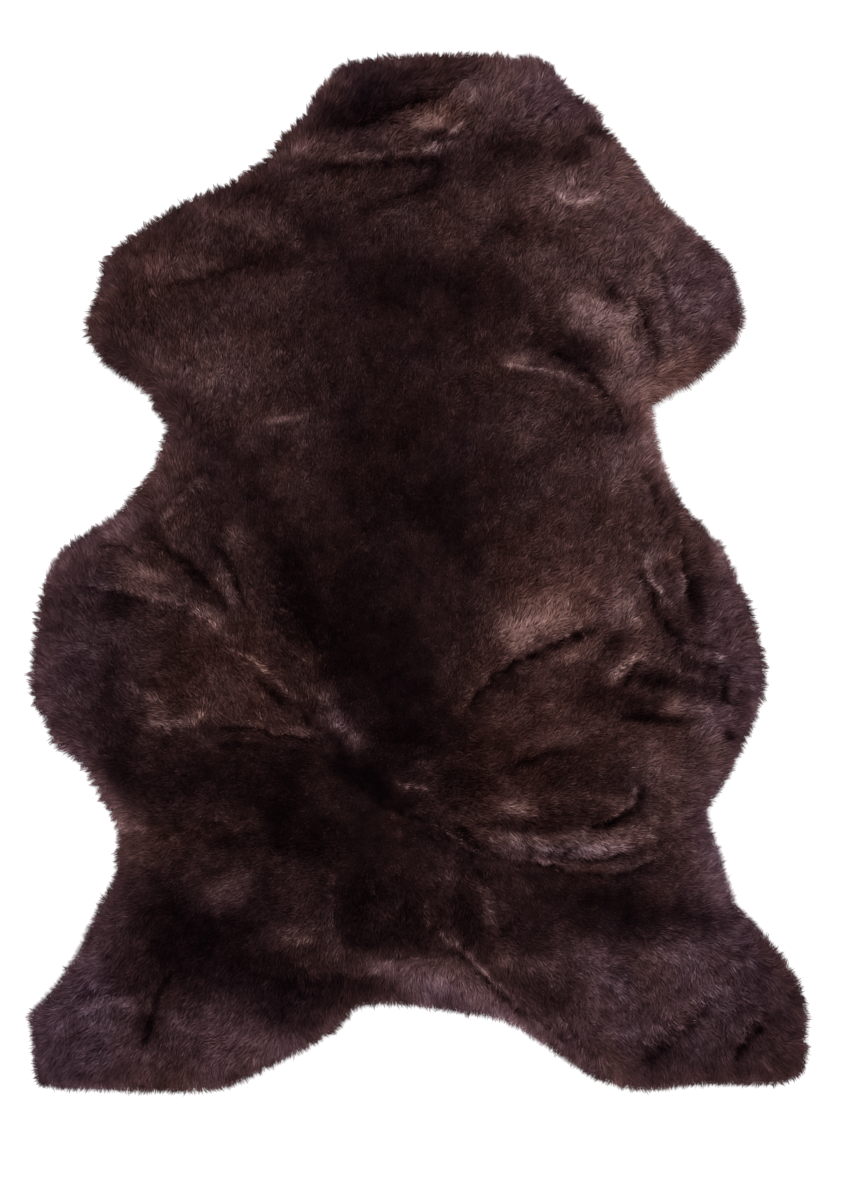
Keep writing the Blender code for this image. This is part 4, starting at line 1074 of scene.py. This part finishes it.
def grow_strands(rim, height, wool):
    """All strands: their corners, four each, with tones and hues."""
    x, y = strand_roots(rim)
    edge = near_rim(rim.at(x, y), RIM_WIDTH)
    clumps = Clumps(x, y)
    wispy = wispiness(x, y)
    crease = np.clip(wool.depth.at(x, y) / CREASE_DEPTH, 0, 1)
    along, axis, lean = comb_strands(rim, x, y, edge, wispy, clumps)
    lean, length = lean_and_length(lean + wool.lean.at(x, y), edge, crease, clumps)
    reach = length * np.sin(lean)
    tip_x, tip_y = x + along[0] * reach, y + along[1] * reach
    pull = CLUMP_PULL + (RIM_CLUMP_PULL * wispy - CLUMP_PULL) * edge
    beside = draw_together(tip_x, tip_y, axis, pull, clumps)
    end_at_rim(rim, tip_x, tip_y, along, beside, wispy, clumps)
    root_z, tip_z = strand_heights(height, x, y, tip_x, tip_y, length * np.cos(lean))
    vertices = kites(np.stack((x, y, root_z), 1), np.stack((tip_x, tip_y, tip_z), 1), edge)
    return vertices, *strand_shades(wool, vertices, clumps)


def mesh_object(name, vertices, triangles, quads=None):
    """A mesh from arrays, in metres, with every face smooth."""
    corners = [triangles.ravel()]
    sizes = [np.full(len(triangles), 3)]
    if quads is not None:
        corners.append(quads.ravel())
        sizes.append(np.full(len(quads), 4))
    corners, sizes = np.concatenate(corners), np.concatenate(sizes)
    mesh = bpy.data.meshes.new(name)
    mesh.vertices.add(len(vertices))
    mesh.vertices.foreach_set("co", (vertices * MM).astype(np.float32).ravel())
    mesh.loops.add(len(corners))
    mesh.loops.foreach_set("vertex_index", corners.astype(np.int32))
    mesh.polygons.add(len(sizes))
    starts = np.concatenate(([0], np.cumsum(sizes)[:-1]))
    mesh.polygons.foreach_set("loop_start", starts.astype(np.int32))
    mesh.polygons.foreach_set("use_smooth", np.ones(len(sizes), bool))
    mesh.update(calc_edges=True)
    mesh.validate()
    piece = bpy.data.objects.new(name, mesh)
    bpy.context.scene.collection.objects.link(piece)
    return piece


def add_plan_map(piece):
    """A flat map seen from above, so that the wool's pattern can be kept with the mesh."""
    mesh = piece.data
    flat = np.empty(len(mesh.vertices) * 3, np.float32)
    mesh.vertices.foreach_get("co", flat)
    flat = flat.reshape(-1, 3)[:, :2]
    low = flat.min(0)
    span = (flat.max(0) - low).max()
    index = np.empty(len(mesh.loops), np.int32)
    mesh.loops.foreach_get("vertex_index", index)
    layer = mesh.uv_layers.new(name="OFBake")
    placed = (flat[index] - low) / span * (1 - 2 * MAP_MARGIN) + MAP_MARGIN
    layer.uv.foreach_set("vector", placed.ravel())


def set_shade(piece, tones, hues):
    """Keeps each vertex's tone and hue with the mesh, for the material to read."""
    for name, values in (("tone", tones), ("hue", hues)):
        attribute = piece.data.attributes.new(name, "FLOAT", "POINT")
        attribute.data.foreach_set("value", (np.asarray(values) / 100).astype(np.float32).ravel())


def make_fleece(rim, height, wool, material):
    """The strands, in a few pieces from tail to neck."""
    pieces = []
    split = [np.array_split(values, len(FLEECE_PIECES)) for values in grow_strands(rim, height, wool)]
    for name, vertices, tones, hues in zip(FLEECE_PIECES, *split):
        first = 4 * np.arange(len(vertices))[:, None, None]
        triangles = first + np.array(((0, 2, 1), (1, 2, 3)))
        piece = mesh_object(name, vertices.reshape(-1, 3), triangles.reshape(-1, 3))
        set_shade(piece, tones, hues)
        add_plan_map(piece)
        piece.data.materials.append(material)
        pieces.append(piece)
    return pieces


def make_slab(name, rim, inset, step, top, bottom):
    """A closed layer inside the outline, between two surfaces given as functions of x and y."""
    slope_y, slope_x = (Field(part) for part in np.gradient(blur(rim.values, BORDER_BLUR), GRID_STEP))
    edge = rim_curve(step)
    for _ in range(BORDER_ROUNDS):
        x, y = edge[:, 0], edge[:, 1]
        short = (inset - rim.at(x, y))[:, None]
        edge = edge + short * np.stack((slope_x.at(x, y), slope_y.at(x, y)), 1)
    gap = np.linalg.norm(edge - np.roll(edge, 1, axis=0), axis=1)
    edge = edge[gap > BORDER_GAP * step]
    rows = np.arange(GRID_Y, -GRID_Y, step * ROW_SHARE)
    x, y = np.meshgrid(np.arange(GRID_X, -GRID_X, step), rows)
    x = x + (np.arange(len(rows)) % 2)[:, None] * step / 2
    x, y = x.ravel(), y.ravel()
    kept = rim.at(x, y) > inset + BORDER_CLEARANCE * step
    points = np.concatenate((edge, np.stack((x[kept], y[kept]), 1)))
    flat, _, triangles, *_ = delaunay_2d_cdt([Vector(point) for point in points], [],
                                             [list(range(len(edge)))], 1, 1e-4)
    x, y = np.array([tuple(point) for point in flat]).T
    triangles = np.array(triangles)
    count = len(x)
    corners = np.stack((x, y), 1)[triangles]
    flipped = np.cross(corners[:, 1] - corners[:, 0], corners[:, 2] - corners[:, 0]) < 0
    triangles[flipped] = triangles[flipped][:, ::-1]
    sides = np.concatenate((triangles[:, (0, 1)], triangles[:, (1, 2)], triangles[:, (2, 0)]))
    known = {tuple(side) for side in sides}
    border = np.array([side for side in known if side[::-1] not in known])
    walls = np.stack((border[:, 1], border[:, 0], border[:, 0] + count, border[:, 1] + count), 1)
    vertices = np.concatenate((np.stack((x, y, top(x, y)), 1), np.stack((x, y, bottom(x, y)), 1)))
    return mesh_object(name, vertices, np.concatenate((triangles, triangles[:, ::-1] + count)), walls)


def lift(height, x, y):
    """How far the skin is off the floor, under the tall folds."""
    return FOLD_LIFT * np.clip(height.at(x, y) - FOLD_HEIGHT, 0, None)


def make_hide(rim, height):
    """The tanned skin, a thin layer under the wool."""
    hide = make_slab("hide", rim, HIDE_INSET, HIDE_STEP, lambda x, y: lift(height, x, y) + HIDE_THICKNESS,
                     lambda x, y: lift(height, x, y))
    hide.data.materials.append(suede_material())
    return hide


def make_undercoat(rim, height, wool, material):
    """The dense wool between the skin and the strands, with small bumps on it."""

    def top(x, y):
        (size_x, bend_x), (size_y, bend_y) = BUMP_SIZES
        bumps = np.sin(x / size_x + 2 * np.sin(y / bend_x)) * np.sin(y / size_y + 2 * np.sin(x / bend_y))
        return np.maximum(UNDERCOAT_SHARE * height.at(x, y) + BUMP_HEIGHT * bumps,
                          lift(height, x, y) + UNDERCOAT_LEAST_TOP)

    undercoat = make_slab("undercoat", rim, UNDERCOAT_INSET, UNDERCOAT_STEP, top,
                          lambda x, y: lift(height, x, y) + UNDERCOAT_BOTTOM)
    x, y = np.array([vertex.co[:2] for vertex in undercoat.data.vertices]).T / MM
    # Painted shade: the undercoat is darker than the wool over it.
    set_shade(undercoat, wool.tone.at(x, y) + UNDERCOAT_SHADE_TONE, wool.hue.at(x, y))
    add_plan_map(undercoat)
    undercoat.data.materials.append(material)
    return undercoat


def new_material(name, colour, roughness):
    material = bpy.data.materials.new(name)
    material.use_nodes = True
    nodes, links = material.node_tree.nodes, material.node_tree.links
    shader = nodes["Principled BSDF"]
    shader.inputs["Base Color"].default_value = (*colour, 1)
    shader.inputs["Roughness"].default_value = roughness
    return material, nodes, links, shader


def noise_node(nodes, links, scale, detail):
    """Noise in the object's own coordinates."""
    place = nodes.new("ShaderNodeTexCoord")
    noise = nodes.new("ShaderNodeTexNoise")
    noise.inputs["Scale"].default_value = scale
    noise.inputs["Detail"].default_value = detail
    links.new(place.outputs["Object"], noise.inputs["Vector"])
    return noise.outputs["Fac"]


def maths(nodes, links, operation, *values):
    """A maths node whose inputs are sockets or numbers."""
    node = nodes.new("ShaderNodeMath")
    node.operation = operation
    for socket, value in zip(node.inputs, values):
        if isinstance(value, (int, float)):
            socket.default_value = value
        else:
            links.new(value, socket)
    return node.outputs["Value"]


def vertex_value(nodes, name):
    """What set_shade has kept with the mesh."""
    attribute = nodes.new("ShaderNodeAttribute")
    attribute.attribute_name = name
    return attribute.outputs["Fac"]


def colour_ramp(nodes, links, value, stops):
    """Colours in between stops of position, red, green and blue."""
    ramp = nodes.new("ShaderNodeValToRGB")
    elements = ramp.color_ramp.elements
    while len(elements) < len(stops):
        elements.new(0.5)
    for element, (position, *colour) in zip(elements, stops):
        element.position = position
        element.color = (*colour, 1)
    links.new(value, ramp.inputs["Fac"])
    return ramp.outputs["Color"]


# The wool's colour from its darkest to its palest tone; the dark end also serves painted shade and the pale
# end painted highlights and sheen.
WOOL_RAMP = (
    # tone, red, green, blue
    (0.12, 0.0054, 0.0026, 0.0034),
    (0.20, 0.0092, 0.0040, 0.0049),
    (0.30, 0.0190, 0.0084, 0.0088),
    (0.41, 0.0405, 0.0172, 0.0172),
    (0.51, 0.081, 0.0370, 0.0368),
    (0.61, 0.162, 0.082, 0.080),
    (0.71, 0.320, 0.186, 0.182),
    (0.84, 0.560, 0.372, 0.366),
)

# What the colour is multiplied by, from the brownest hue to the most violet one; the violet end partly
# carries the painted sheen.
TINT_RAMP = (
    # position, red, green, blue
    (0.0, 1.10, 0.94, 0.76),
    (0.5, 1.0, 1.0, 1.0),
    (1.0, 0.84, 0.94, 1.30),
)

# Noise in the wool's tone, from broad patches to single strands. The finest one also varies its roughness.
WOOL_NOISE = (
    # scale, detail, how much it changes the tone
    (11.0, 3.0, 0.08),
    (48.0, 3.0, 0.12),
    (420.0, 2.0, 0.14),
)
WOOL_ROUGHNESS, WOOL_ROUGHNESS_SPREAD = 0.42, 0.3


def wool_material():
    """Dark brown wool: its tone comes with the strands and carries their painted light and shade, and it is
    uneven in patches and from strand to strand.
    """
    material, nodes, links, shader = new_material("dark brown wool", (0.03, 0.015, 0.015), 0.6)
    tone = vertex_value(nodes, "tone")
    for scale, detail, spread in WOOL_NOISE:
        noise = noise_node(nodes, links, scale, detail)
        change = maths(nodes, links, "MULTIPLY_ADD", noise, spread, -spread / 2)
        tone = maths(nodes, links, "ADD", tone, change)
    hue = maths(nodes, links, "MULTIPLY_ADD", vertex_value(nodes, "hue"), 0.5, 0.5)
    tinted = nodes.new("ShaderNodeMix")
    tinted.data_type = "RGBA"
    tinted.blend_type = "MULTIPLY"
    tinted.inputs["Factor"].default_value = 1.0
    links.new(colour_ramp(nodes, links, tone, WOOL_RAMP), tinted.inputs["A"])
    links.new(colour_ramp(nodes, links, hue, TINT_RAMP), tinted.inputs["B"])
    links.new(tinted.outputs["Result"], shader.inputs["Base Color"])
    rough = maths(nodes, links, "MULTIPLY_ADD", noise, WOOL_ROUGHNESS_SPREAD, WOOL_ROUGHNESS)
    links.new(rough, shader.inputs["Roughness"])
    # No specular: the wool's sheen is painted into its tone and hue.
    shader.inputs["Specular IOR Level"].default_value = 0.0
    return material


SUEDE_RAMP = (
    # position, red, green, blue
    (0.3, 0.40, 0.27, 0.21),
    (0.75, 0.58, 0.44, 0.36),
)
FLOOR_RAMP = (
    # position, red, green, blue
    (0.0, 0.93, 0.93, 0.93),
    (1.0, 0.96, 0.96, 0.96),
)


def suede_material():
    """The flesh side of the hide: pale, slightly pink, with a soft nap."""
    material, nodes, links, shader = new_material("suede", (0.50, 0.36, 0.29), 0.9)
    colour = colour_ramp(nodes, links, noise_node(nodes, links, 14.0, 5.0), SUEDE_RAMP)
    links.new(colour, shader.inputs["Base Color"])
    bump = nodes.new("ShaderNodeBump")
    bump.inputs["Strength"].default_value = 0.4
    bump.inputs["Distance"].default_value = 0.0004
    links.new(noise_node(nodes, links, 600.0, 3.0), bump.inputs["Height"])
    links.new(bump.outputs["Normal"], shader.inputs["Normal"])
    return material


def floor_material():
    """Plain white, very slightly uneven."""
    material, nodes, links, shader = new_material("pale floor", (0.94, 0.94, 0.94), 0.9)
    shader.inputs["Specular IOR Level"].default_value = 0.1
    colour = colour_ramp(nodes, links, noise_node(nodes, links, 30.0, 4.0), FLOOR_RAMP)
    links.new(colour, shader.inputs["Base Color"])
    return material


def add_floor():
    bpy.ops.mesh.primitive_plane_add(size=FLOOR_SIZE, location=(0, 0, -FLOOR_DROP))
    floor = bpy.context.object
    floor.name = "floor"
    floor.data.materials.append(floor_material())


def add_softbox(name, place, power):
    """A square area light aimed at the middle of the rug."""
    light = bpy.data.lights.new(name, "AREA")
    light.size = SOFTBOX_SIZE
    light.energy = power
    lamp = bpy.data.objects.new(name, light)
    lamp.location = place
    lamp.rotation_euler = (-Vector(place)).to_track_quat("-Z", "Y").to_euler()
    bpy.context.scene.collection.objects.link(lamp)


def add_studio():
    """A white surround, a large softbox at the upper left and a weaker one at the lower right."""
    world = bpy.data.worlds.new("studio")
    bpy.context.scene.world = world
    world.use_nodes = True
    background = world.node_tree.nodes["Background"]
    background.inputs["Color"].default_value = SURROUND_COLOUR
    background.inputs["Strength"].default_value = SURROUND_STRENGTH
    for name, place, power in SOFTBOXES:
        add_softbox(name, place, power)
    bpy.context.scene.view_settings.view_transform = "Standard"


def add_camera():
    """Straight above the rug, as in the picture."""
    camera = bpy.data.cameras.new("camera")
    camera.sensor_fit = "VERTICAL"
    camera.sensor_height = SENSOR_HEIGHT
    camera.lens = SENSOR_HEIGHT * CAMERA_HEIGHT / FRAME_HEIGHT
    holder = bpy.data.objects.new("camera", camera)
    holder.location = (FRAME_CENTRE[0] * MM, FRAME_CENTRE[1] * MM, CAMERA_HEIGHT * MM)
    bpy.context.scene.collection.objects.link(holder)
    bpy.context.scene.camera = holder


def main():
    add_camera()
    add_studio()
    add_floor()

    rim = rim_distance_field(rim_curve(RIM_STEP))
    height = solid_height_field(rim)
    wool = wool_fields(rim)
    height.values = np.maximum(height.values - wool.depth.values, CREASE_FLOOR * height.values)
    material = wool_material()
    hide = make_hide(rim, height)
    undercoat = make_undercoat(rim, height, wool, material)
    fleece = make_fleece(rim, height, wool, material)

    for piece in (hide, undercoat, *fleece):
        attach(piece, "root")
        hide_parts("sheepskin")


main()
